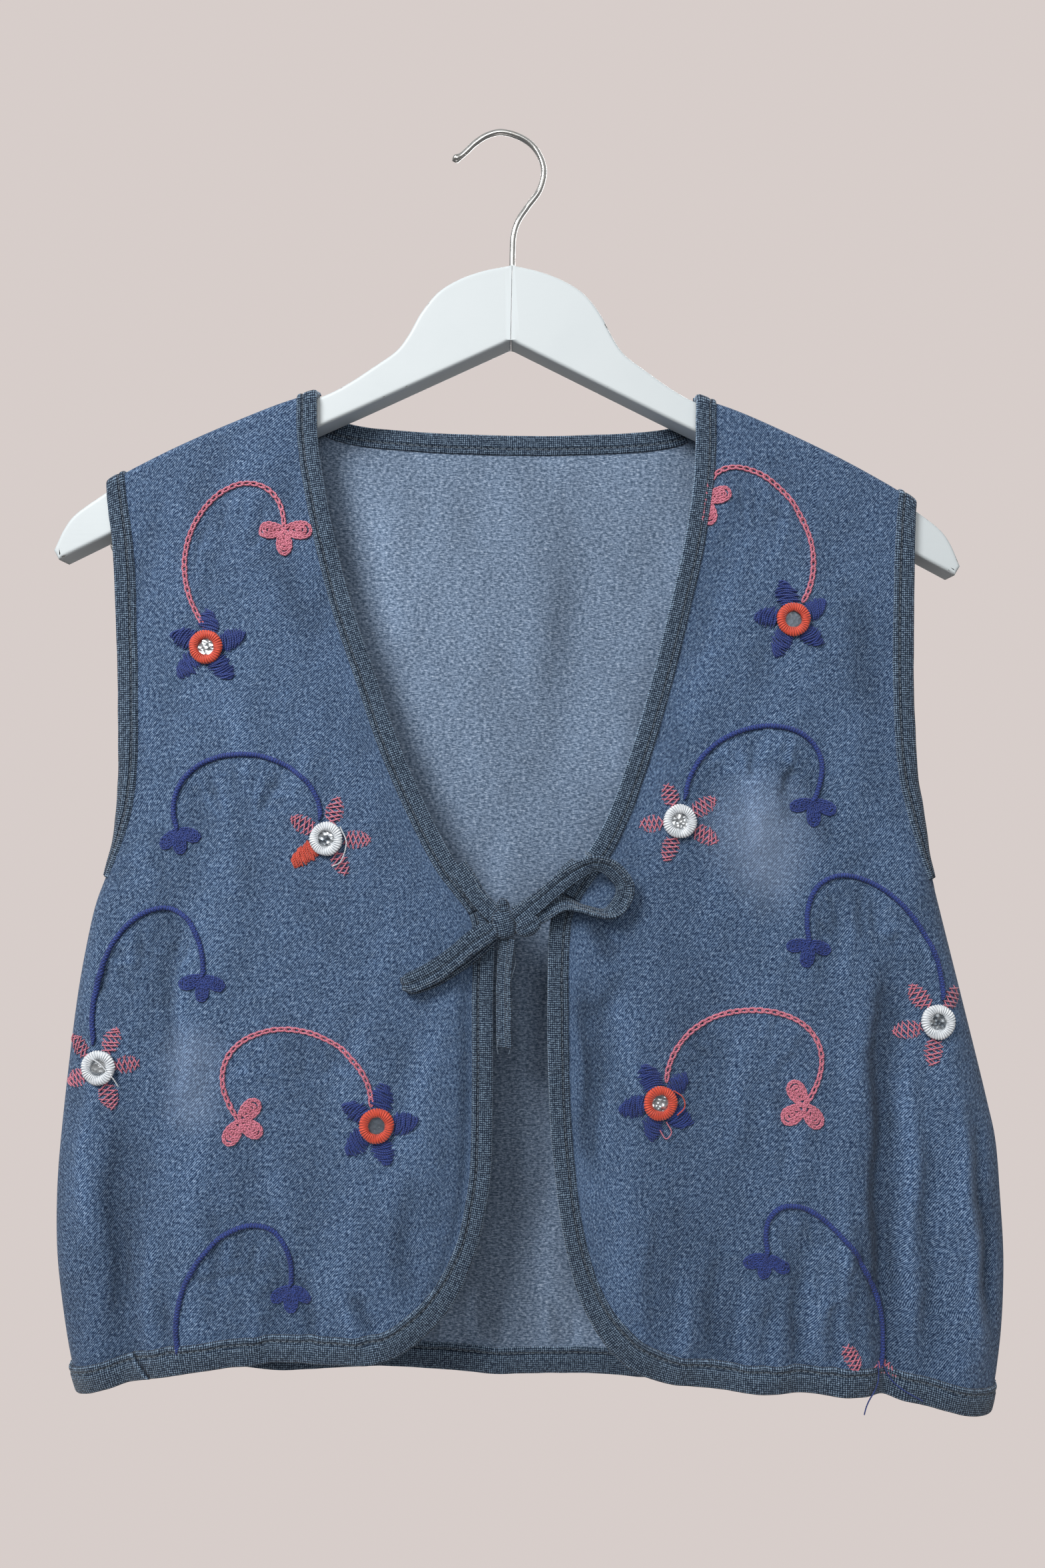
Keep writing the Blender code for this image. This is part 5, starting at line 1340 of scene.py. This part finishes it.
MIRROR = mirror_finish()
mirror_pieces = {side: [] for side in SIDES}
for name, (side, x, z, ring, *_) in FLOWERS.items():
    base, u, v, n = flower_seat(side, x, z)
    turn = np.linspace(0, 2 * np.pi, 48, endpoint=False)
    reach = np.linspace(0.3, MIRROR_RADIUS, 9)[:, None]
    bow = 0.75 + 0.10 * np.sin(3 * turn + x) * (reach / MIRROR_RADIUS) ** 2
    disc_points = base + reach[..., None] * (u * np.cos(turn)[:, None] + v * np.sin(turn)[:, None]) \
        + n * bow[..., None]
    rows, cols = disc_points.shape[:2]
    ring_row = np.arange(cols)
    cells = [np.stack([r * cols + ring_row, (r + 1) * cols + ring_row,
                       (r + 1) * cols + (ring_row + 1) % cols, r * cols + (ring_row + 1) % cols], axis=1)
             for r in range(rows - 1)]
    glass = put_mesh("mirror_glass_" + name, disc_points.reshape(-1, 3),
                     np.concatenate(cells).tolist() + [list(range(cols))], None, (MIRROR,))
    keep_values(glass, "mirror_darkening", np.full(rows * cols, MIRROR_DARKENING.get(name, 0.0)))
    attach(glass, "root")
    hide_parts("mirror_" + name)
    around = np.linspace(0, 2 * np.pi, RING_STATIONS, endpoint=False)
    tube = np.linspace(0, 2 * np.pi, RING_SIDES, endpoint=False)
    ripple = 0.90 + 0.20 * np.abs(np.sin(RING_WRAPS / 2 * around[:, None] + 0.35 * np.sin(tube)))
    ripple = ripple + 0.05 * np.sin(3 * around[:, None] + x) + 0.03 * np.sin(7 * around[:, None] + z)
    out = u * np.cos(around)[:, None] + v * np.sin(around)[:, None]
    ring_points = base + n * RING_LIFT + out[:, None] * (
        RING_RADIUS + RING_TUBE * ripple * np.cos(tube))[..., None] \
        + n * (RING_TUBE * RING_FLATTEN * ripple * np.sin(tube))[..., None]
    i, k = np.meshgrid(np.arange(RING_STATIONS), np.arange(RING_SIDES), indexing="ij")
    here = i * RING_SIDES
    ahead = (i + 1) % RING_STATIONS * RING_SIDES
    beside = (k + 1) % RING_SIDES
    cells = np.stack([here + k, ahead + k, ahead + beside, here + beside], axis=-1).reshape(-1, 4)
    uv = np.stack([i / RING_STATIONS * RING_WRAPS, k / RING_SIDES + 0 * i], axis=-1)
    wrap = put_mesh("thread_ring_" + name, ring_points.reshape(-1, 3), cells.tolist(), uv,
                    (RING_LOOKS[ring],))
    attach(wrap, "root")
    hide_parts("ring_" + name)
    mirror_pieces[side] += [glass, wrap]


# The tie: two narrow strips of the binding cloth, folded lengthwise and stitched, that come from
# the neck bindings and meet in a bow with one short hanging end.
TAPE_WIDTH, TAPE_HALF = 9.0, 0.8
# x, depth and height of the tape's middle, then the direction across it
TAPES = {
    "tie_loop_right": [
        (13.0, -24.6, -384.2, -0.5, 0, 0.87), (23, -25.4, -375.8, -0.6, 0, 0.8),
        (33, -25.4, -367.0, -0.62, -0.1, 0.78), (42, -25.2, -360.2, -0.55, -0.25, 0.78),
        (50.5, -25.0, -356.6, -0.05, -0.5, 0.86), (58.5, -24.5, -359.4, 0.55, -0.4, 0.74),
        (64.6, -23.9, -367, 0.93, -0.35, 0.1), (62.6, -23.5, -375.4, 0.86, -0.42, -0.3),
        (56, -23.3, -380.4, 0.3, -0.9, -0.35), (45, -23.2, -378.0, -0.05, -0.97, -0.25),
        (36, -23.2, -376.4, 0.1, -0.8, -0.6), (27, -23.3, -379.6, 0.3, -0.3, -0.9),
        (17.0, -23.2, -386.4, 0.5, -0.1, -0.85)],
    "tie_loop_left": [
        (1.9, -24.2, -388.6, 0.55, 0, -0.83), (-6, -25.8, -394, 0.6, 0, -0.8),
        (-15, -26.2, -401.5, 0.6, 0, -0.8), (-25, -26.1, -409, 0.5, 0, -0.86),
        (-34, -25.9, -413.5, 0.3, 0, -0.95), (-38.5, -24.5, -415, 0.25, 0, -0.97),
        (-39.2, -23.3, -415.2, 0.25, 0, -0.97), (-37.5, -22.2, -415.2, 0.3, 0, -0.95),
        (-33, -21.2, -414.6, 0.4, 0, -0.9), (-24, -20.9, -411, 0.5, 0, -0.86),
        (-14, -21.0, -404.5, 0.6, 0, -0.8), (-6, -21.2, -398, 0.6, 0, -0.8),
        (1.3, -21.6, -390.9, 0.6, 0, -0.8)],
    "tie_end": [
        (9.4, -22.4, -392.5, 0.85, -0.5, 0), (9.0, -21.5, -399, 0.82, -0.57, 0),
        (8.4, -20.6, -408, 0.78, -0.62, 0), (8.3, -20.3, -420, 0.76, -0.64, 0),
        (8.6, -20.2, -432, 0.78, -0.62, 0), (9.0, -20.2, -445, 0.82, -0.57, 0)],
    "tie_lead_right": [
        (42, -15.9, -356.5, 0.7, 0, 0.7), (33.5, -17.3, -366, 0.72, 0, 0.69),
        (26, -18.4, -373, 0.62, 0, 0.78), (19.5, -19.5, -378.5, 0.5, 0, 0.86),
        (13.6, -20.3, -382.3, 0.4, 0, 0.92)],
    "tie_lead_left": [
        (-15.0, -17.2, -359.5, 0.86, 0, 0.5), (-10.6, -18.7, -365.5, 0.85, 0, 0.53),
        (-5.8, -20.2, -372.5, 0.83, 0, 0.56), (-1, -21.0, -378, 0.76, 0, 0.65),
        (4.4, -22.2, -382.8, 0.65, 0, 0.76)],
}
# How much narrower a tape is where it folds back on itself: x and height of the fold, share
TAPE_FOLDS = {"tie_loop_left": (-39.2, -415.2, 0.38)}
KNOT_PLACE = (8.0, -22.9, -386.0)
KNOT_SIZE = (5.4, 4.2, 7.2)
KNOT_TILT = -17
# Folds of tape beside the knot: middle, half sizes, turn in degrees
KNOT_LUMPS = [((7.4, -23.8, -377.6), (3.0, 2.8, 3.8), 8),
              ((19.4, -25.6, -386.6), (6.4, 2.6, 4.6), 30),
              ((1.6, -23.6, -389.8), (4.4, 2.8, 4.2), 40)]


def tape(name, rows):
    """A flat folded strip along its line: edge rolls, a row of stitching and a soft middle crease."""
    line = smooth_line(rows, 0.9)
    middle, across = line[:, :3], line[:, 3:]
    ahead = np.gradient(middle, axis=0)
    ahead /= np.linalg.norm(ahead, axis=1, keepdims=True)
    across = across - ahead * np.sum(across * ahead, axis=1, keepdims=True)
    across /= np.linalg.norm(across, axis=1, keepdims=True)
    thick = np.cross(ahead, across)
    run = lengths(middle)
    a = np.linspace(-1.0, 1.0, 25)
    rise = TAPE_HALF * (1.0 - a ** 12) ** 0.5 * (1.1 - 0.8 * np.exp(-((a - 0.12) / 0.14) ** 2)
                                               - 0.22 * np.exp(-((np.abs(a) - 0.7) / 0.07) ** 2))
    a, rise = np.concatenate([a, a[-2:0:-1]]), np.concatenate([rise, -rise[-2:0:-1]])
    wave = 0.16 * np.sin(run / 3.1)[:, None] + 0.12 * np.sin(run / 1.7 + 2.0)[:, None] * a
    half = TAPE_WIDTH / 2 * (1 + 0.03 * np.sin(run / 4.3))[:, None]
    if name in TAPE_FOLDS:
        x, z, share = TAPE_FOLDS[name]
        near = np.hypot(middle[:, 0] - x, middle[:, 2] - z)
        half = half * (1.14 - share * np.exp(-(near / 2.2) ** 2))[:, None]
    points = middle[:, None] + across[:, None] * (half * a)[..., None] \
        + thick[:, None] * (rise + wave)[..., None]
    stations, count = points.shape[:2]
    first, last = end_faces(stations, count)
    cells = round_faces(stations, count)[:, [0, 3, 2, 1]].tolist() + [first, last[::-1]]
    uv = np.stack(np.broadcast_arrays(run[:, None], TAPE_WIDTH / 2 * a), axis=-1)
    made = put_mesh(name + "_tape", points.reshape(-1, 3), cells, uv, (STRIP,))
    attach(made, "root")
    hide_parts(name)
    sewing = [stitch_row(middle + across * (0.7 * half) + thick * face * (TAPE_HALF * 0.85),
                         thick * face) for face in (1.0, -1.0)]
    return made, run[-1], sewing


tape_pieces, tape_rows = {}, []
for name, rows in TAPES.items():
    made, length, sewing = tape(name, rows)
    tape_pieces[name] = (made, length)
    tape_rows += sewing
# A bar-tack holds the right loop's end down
tack = np.stack([np.linspace(45.5, 52.5, 13), np.full(13, -26.6),
                 np.linspace(-351.6, -355.4, 13) + 1.1 * (-1.0) ** np.arange(13)], axis=1)
tack_thread = tubes([smooth_line(tack, 1.0)], (0.0, -1.0, 0.0), 0.2, 5)
put_tubes("tie_stitches", [(sewn(tape_rows, TIE_THREAD_RADIUS), 0), (tack_thread, 0)], (PALE,))


def squared(v, power):
    """A sine or cosine raised to a power under 1 with its sign kept, which squares a round form."""
    return np.sign(v) * np.abs(v) ** power


def knot_form():
    """A band wrapped once round the bow: a rounded block with two folds down its face."""
    lon, lat = np.meshgrid(np.linspace(0, 2 * np.pi, 96, endpoint=False),
                           np.linspace(-np.pi / 2, np.pi / 2, 49), indexing="ij")
    x = squared(np.cos(lat), 0.7) * squared(np.cos(lon), 0.75)
    y = squared(np.cos(lat), 0.7) * squared(np.sin(lon), 0.75)
    z = squared(np.sin(lat), 0.8)
    band = np.stack([x, y, z], axis=-1) * KNOT_SIZE
    fold = 1 - 0.10 * np.exp(-((band[..., 0] - 1.1 - 0.25 * band[..., 2]) / 0.5) ** 2) \
        - 0.07 * np.exp(-((band[..., 0] + 2.2 - 0.2 * band[..., 2]) / 0.45) ** 2)
    band[..., 1] *= fold
    tilt = math.radians(KNOT_TILT)
    turned_x = band[..., 0] * math.cos(tilt) + band[..., 2] * math.sin(tilt)
    turned_z = band[..., 2] * math.cos(tilt) - band[..., 0] * math.sin(tilt)
    points = np.stack([turned_x, band[..., 1], turned_z], axis=-1) + KNOT_PLACE
    uv = np.stack([band[..., 2], band[..., 0] + 3 * y], axis=-1)
    return points, uv


def round_lump(middle, size, tilt):
    """A small fold of tape seen from outside: an ellipsoid turned in the plane of the front."""
    lon, lat = np.meshgrid(np.linspace(0, 2 * np.pi, 40, endpoint=False),
                           np.linspace(-np.pi / 2, np.pi / 2, 21), indexing="ij")
    x, y, z = (np.cos(lat) * np.cos(lon) * size[0], np.cos(lat) * np.sin(lon) * size[1],
               np.sin(lat) * size[2])
    y = y * (1 - 0.35 * np.exp(-(z / (0.22 * size[2])) ** 2))
    a = math.radians(tilt)
    points = np.stack([x * math.cos(a) - z * math.sin(a), y, x * math.sin(a) + z * math.cos(a)], axis=-1)
    return points + middle, np.stack([x, z], axis=-1)


knot_verts, knot_cells, knot_uv, start = [], [], [], 0
for points, uv in [knot_form()] + [round_lump(*lump) for lump in KNOT_LUMPS]:
    rows, cols = points.shape[:2]
    i, k = np.meshgrid(np.arange(rows), np.arange(cols - 1), indexing="ij")
    a, b = start + i * cols + k, start + (i + 1) % rows * cols + k
    knot_cells.append(np.stack([a, b, b + 1, a + 1], axis=-1).reshape(-1, 4))
    knot_verts.append(points.reshape(-1, 3))
    knot_uv.append(uv.reshape(-1, 2))
    start += rows * cols
knot = put_mesh("knot_band", np.concatenate(knot_verts), np.concatenate(knot_cells).tolist(),
                np.concatenate(knot_uv), (STRIP,))
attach(knot, "root")
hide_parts("tie_knot")


# Loose threads: ends of embroidery cotton left on the face, and frayed threads at the tie's end.
# Side, thread, then x, height and how far each point stands off the cloth.
LOOSE_FRONT = [
    ("left", "white", [(-71, -342, 2.6), (-68, -350, 3.2), (-70, -358, 2.2), (-74.5, -361, 1.2)]),
    ("left", "white", [(-186, -452, 3.0), (-180, -456, 3.6), (-176, -460, 3.2), (-173, -466, 1.8)]),
    ("right", "red", [(89, -463, 2.8), (93, -466, 3.2), (94.5, -471, 2.6), (91, -475, 2.0)]),
    ("right", "pink", [(86, -478, 1.2), (88.5, -483, 2.0), (86, -486, 1.8), (83, -482, 1.0)]),
    ("right", "navy", [(187, -590, 1.6), (186, -598, 3.0), (181.5, -607, 3.0), (180, -613, 2.6)]),
    ("right", "navy", [(190, -592, 1.4), (197, -599, 2.8), (204, -604, 3.0), (209, -607, 2.6)]),
]
LOOSE_TIE = [
    [(12.8, -21.6, -398), (13.6, -22.2, -405), (12.0, -22.6, -411), (11.0, -22.4, -417),
     (12.2, -21.8, -424)],
    [(6.4, -21.2, -440), (5.6, -21.6, -444), (6.2, -21.4, -448)],
    [(11.0, -21.4, -441), (11.8, -21.6, -445), (11.2, -21.4, -448)],
]
THREADS = {"pink": 0, "navy": 1, "red": 2, "white": 3, "pale": 4}
loose = []
for side, colour, points in LOOSE_FRONT:
    flat = smooth_line(points, 0.8)
    line, n = on_front(side, flat[:, 0], flat[:, 1], flat[:, 2])
    loose.append((tubes(line[None], n[None], 0.30, 6), THREADS[colour]))
for points in LOOSE_TIE:
    loose.append((tubes(smooth_line(points, 0.8)[None], (0.0, -1.0, 0.0), 0.15, 5), THREADS["pale"]))
loose_threads = put_tubes("loose_threads", loose, (PINK, NAVY, RED, WHITE, PALE))


# The hanger: two boards of wood, sawn to an arched outline and met at the middle, their edges
# eased by a millimetre and a half. White paint, worn through in small chips along the edges.
HANGER_BOTTOM = [(218.5, -214.5), (194, -202), (100, -151), (75, -139.5), (55, -130), (0, -103.8)]
BOARD_HALF, BOARD_EASE = 7.0, 1.5


def even_polyline(points, step):
    """Straight runs between the points, cut into lengths of about one step."""
    runs = [np.linspace(a, b, max(1, int(round(np.linalg.norm(b - a) / step))), endpoint=False)
            for a, b in zip(points[:-1], points[1:])]
    return np.vstack(runs + [points[-1:]])


def paint_finish():
    """White satin paint: faint brush marks, grey wear on the edges and small bare chips there."""
    made, add, where = finish_of("painted_wood")
    edge = add("ShaderNodeAttribute", attribute_name="edge").outputs["Fac"]
    chips = add("ShaderNodeTexNoise", {"Vector": where["Object"], "Scale": 130.0, "Detail": 5.0,
                                       "Roughness": 0.75}).outputs["Fac"]
    bare = spread_range(add, maths(add, "MULTIPLY_ADD", edge, 0.20, chips), 0.80, 0.83)
    grime = add("ShaderNodeTexNoise", {"Vector": where["Object"], "Scale": 26.0, "Detail": 4.0})
    dull = spread_range(add, grime.outputs["Fac"], 0.45, 0.8, 0.0, 0.25)
    colour = blend(add, dull, (0.575, 0.62, 0.635, 1), (0.48, 0.53, 0.55, 1))
    colour = blend(add, maths(add, "MULTIPLY", edge, 0.22), colour, (0.50, 0.55, 0.56, 1))
    colour = blend(add, bare, colour, (0.20, 0.19, 0.18, 1))
    brush = add("ShaderNodeVectorMath", {0: where["Object"], 1: (60.0, 500.0, 500.0)},
                operation="MULTIPLY").outputs[0]
    marks = add("ShaderNodeTexNoise", {"Vector": brush, "Scale": 1.0, "Detail": 2.0}).outputs["Fac"]
    height = maths(add, "SUBTRACT", maths(add, "MULTIPLY", marks, 0.25), bare)
    bump = add("ShaderNodeBump", {"Strength": 0.35, "Distance": 0.0003, "Height": height})
    shader = add("ShaderNodeBsdfPrincipled", {"Base Color": colour, "Roughness": 0.42,
                                              "Normal": bump.outputs[0]})
    add("ShaderNodeOutputMaterial", {0: shader.outputs[0]})
    return made


def board(side):
    """Half of the hanger: its outline carried through the board's thickness with eased edges."""
    upper = smooth_line(HANGER_TOP, 2.0)
    outline = np.vstack([upper, even_polyline(np.array([tuple(upper[-1])] + HANGER_BOTTOM, float), 2.0)[1:]])
    outline[:, 0] = np.maximum(outline[:, 0], SEAM_GAP / 2)
    ahead = np.roll(outline, -1, axis=0) - np.roll(outline, 1, axis=0)
    ahead /= np.linalg.norm(ahead, axis=1, keepdims=True)
    inward = np.stack([ahead[:, 1], -ahead[:, 0]], axis=1)
    seam = np.abs(outline[:, 0] - SEAM_GAP / 2) < 1e-6
    inward[seam] = (0.0, 0.0)
    turn = np.linspace(0.0, np.pi / 2, 6)
    ease = [(BOARD_EASE * (1 - math.cos(a)), BOARD_HALF - BOARD_EASE * (1 - math.sin(a)))
            for a in turn]
    profile = [(i, y) for i, y in ease] + [(BOARD_EASE + 0.7, BOARD_HALF)]
    profile = [(i, -y) for i, y in profile[::-1]] + profile
    wear = np.array([math.sin(2 * a) for a in turn] + [0.0])
    wear = np.concatenate([wear[::-1], wear])
    flat = [outline + inward * i for i, _ in profile]
    points = np.stack([np.stack([CENTRE_X + SIGN[side] * f[:, 0], np.full(len(f), y), f[:, 1]], axis=1)
                       for f, (_, y) in zip(flat, profile)])
    rows, cols = points.shape[:2]
    cells = round_faces(rows, cols)
    first, last = end_faces(rows, cols)
    ends = [first[::-1], last]
    if side == "left":
        cells = cells[:, ::-1]
        ends = [end[::-1] for end in ends]
    made = put_mesh("board_" + side, points.reshape(-1, 3), cells.tolist() + ends, None, (PAINT,))
    keep_values(made, "edge", np.repeat(wear, cols))
    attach(made, "root")
    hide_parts("hanger_" + side)
    return made


PAINT = paint_finish()
boards = {side: board(side) for side in SIDES}


# The wire: a chrome-plated hook with a ball at its tip, and a small wire loop under each arm.
WIRE_RADIUS, STRAP_WIRE_RADIUS = 1.4, 0.8
STRAP_HOOK_HALF, STRAP_HOOK_Z, STRAP_LOOP = 191.0, -205.2, 4.0
# x and height of the wire's middle, and its thickness as a share of the plain wire's
HOOK = [
    (-24.5, -13.1, 1.15), (-22.6, -12.0, 1.35), (-20.2, -10.6, 1.0), (-17.2, -7.9, 1.0),
    (-13.2, -4.0, 1.0), (-7.3, -0.2, 1.0), (0, 1.4, 1.0), (9.4, -1.2, 1.0), (16.6, -6.8, 1.0),
    (20.7, -16.3, 1.0), (18.9, -26.4, 1.0), (13.0, -35.1, 1.0), (8.6, -42.0, 1.0),
    (6.4, -49.0, 1.0), (6.0, -57.0, 1.0), (6.0, -66.7, 1.0)]


def chrome_finish():
    """Bright plated wire with faint drawing marks and a few dull spots."""
    made, add, where = finish_of("chrome")
    spots = add("ShaderNodeTexNoise", {"Vector": where["Object"], "Scale": 240.0,
                                       "Detail": 3.0}).outputs["Fac"]
    rough = spread_range(add, spots, 0.4, 0.75, 0.12, 0.34)
    colour = blend(add, spread_range(add, spots, 0.5, 0.8), (0.66, 0.66, 0.64, 1), (0.42, 0.40, 0.37, 1))
    shader = add("ShaderNodeBsdfPrincipled", {"Base Color": colour, "Metallic": 1.0,
                                              "Roughness": rough})
    add("ShaderNodeOutputMaterial", {0: shader.outputs[0]})
    return made


def wire(name, route, radius, node):
    """A round wire along a route in the hanger's own plane, closed at both ends."""
    ends = np.concatenate([[0.05, 0.6, 0.9], np.ones(len(route) - 6), [0.9, 0.6, 0.05]])
    verts, cells, uv = tubes(route[None], (0.0, -1.0, 0.0), (radius * ends)[None], 20)
    made = put_mesh(name, verts, cells.tolist(), uv, (CHROME,))
    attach(made, "root")
    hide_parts(node)
    return made


CHROME = chrome_finish()
route = smooth_line(HOOK, 0.7)
wire("hook_wire", np.stack([route[:, 0], 0 * route[:, 0], route[:, 1]], axis=1),
     WIRE_RADIUS * route[:, 2], "hook")
for side in SIDES:
    middle = CENTRE_X + SIGN[side] * STRAP_HOOK_HALF
    turn = np.radians(np.linspace(0, -180, 40))
    bend = np.stack([middle + STRAP_LOOP * np.cos(turn), 0 * turn,
                     STRAP_HOOK_Z + 1.2 * STRAP_LOOP * np.sin(turn)], axis=1)
    low = np.array(HANGER_BOTTOM)[::-1]
    under = [float(np.interp(abs(x - CENTRE_X), low[:, 0], low[:, 1])) - 0.4 * STRAP_WIRE_RADIUS
             - SEAM_GAP for x in (bend[0, 0], bend[-1, 0])]
    bend = np.vstack([(bend[0, 0], 0, under[0]), bend, (bend[-1, 0], 0, under[1])])
    wire("strap_wire_" + side, bend, STRAP_WIRE_RADIUS, "strap_hook_" + side)


# Each front and the back is one cut piece that hangs from the hanger, and each stretch of the tie is a
# folded strip. Here each piece's flat size and area are taken, and the pieces worked onto each front are
# gathered.
for side in SIDES:
    piece, flat, area = fronts[side]
    worked = strips[side] + [stems[side], petals[side]] + mirror_pieces[side]
    if side == "left":
        worked += [binding_thread, loose_threads]
piece, flat, area = back
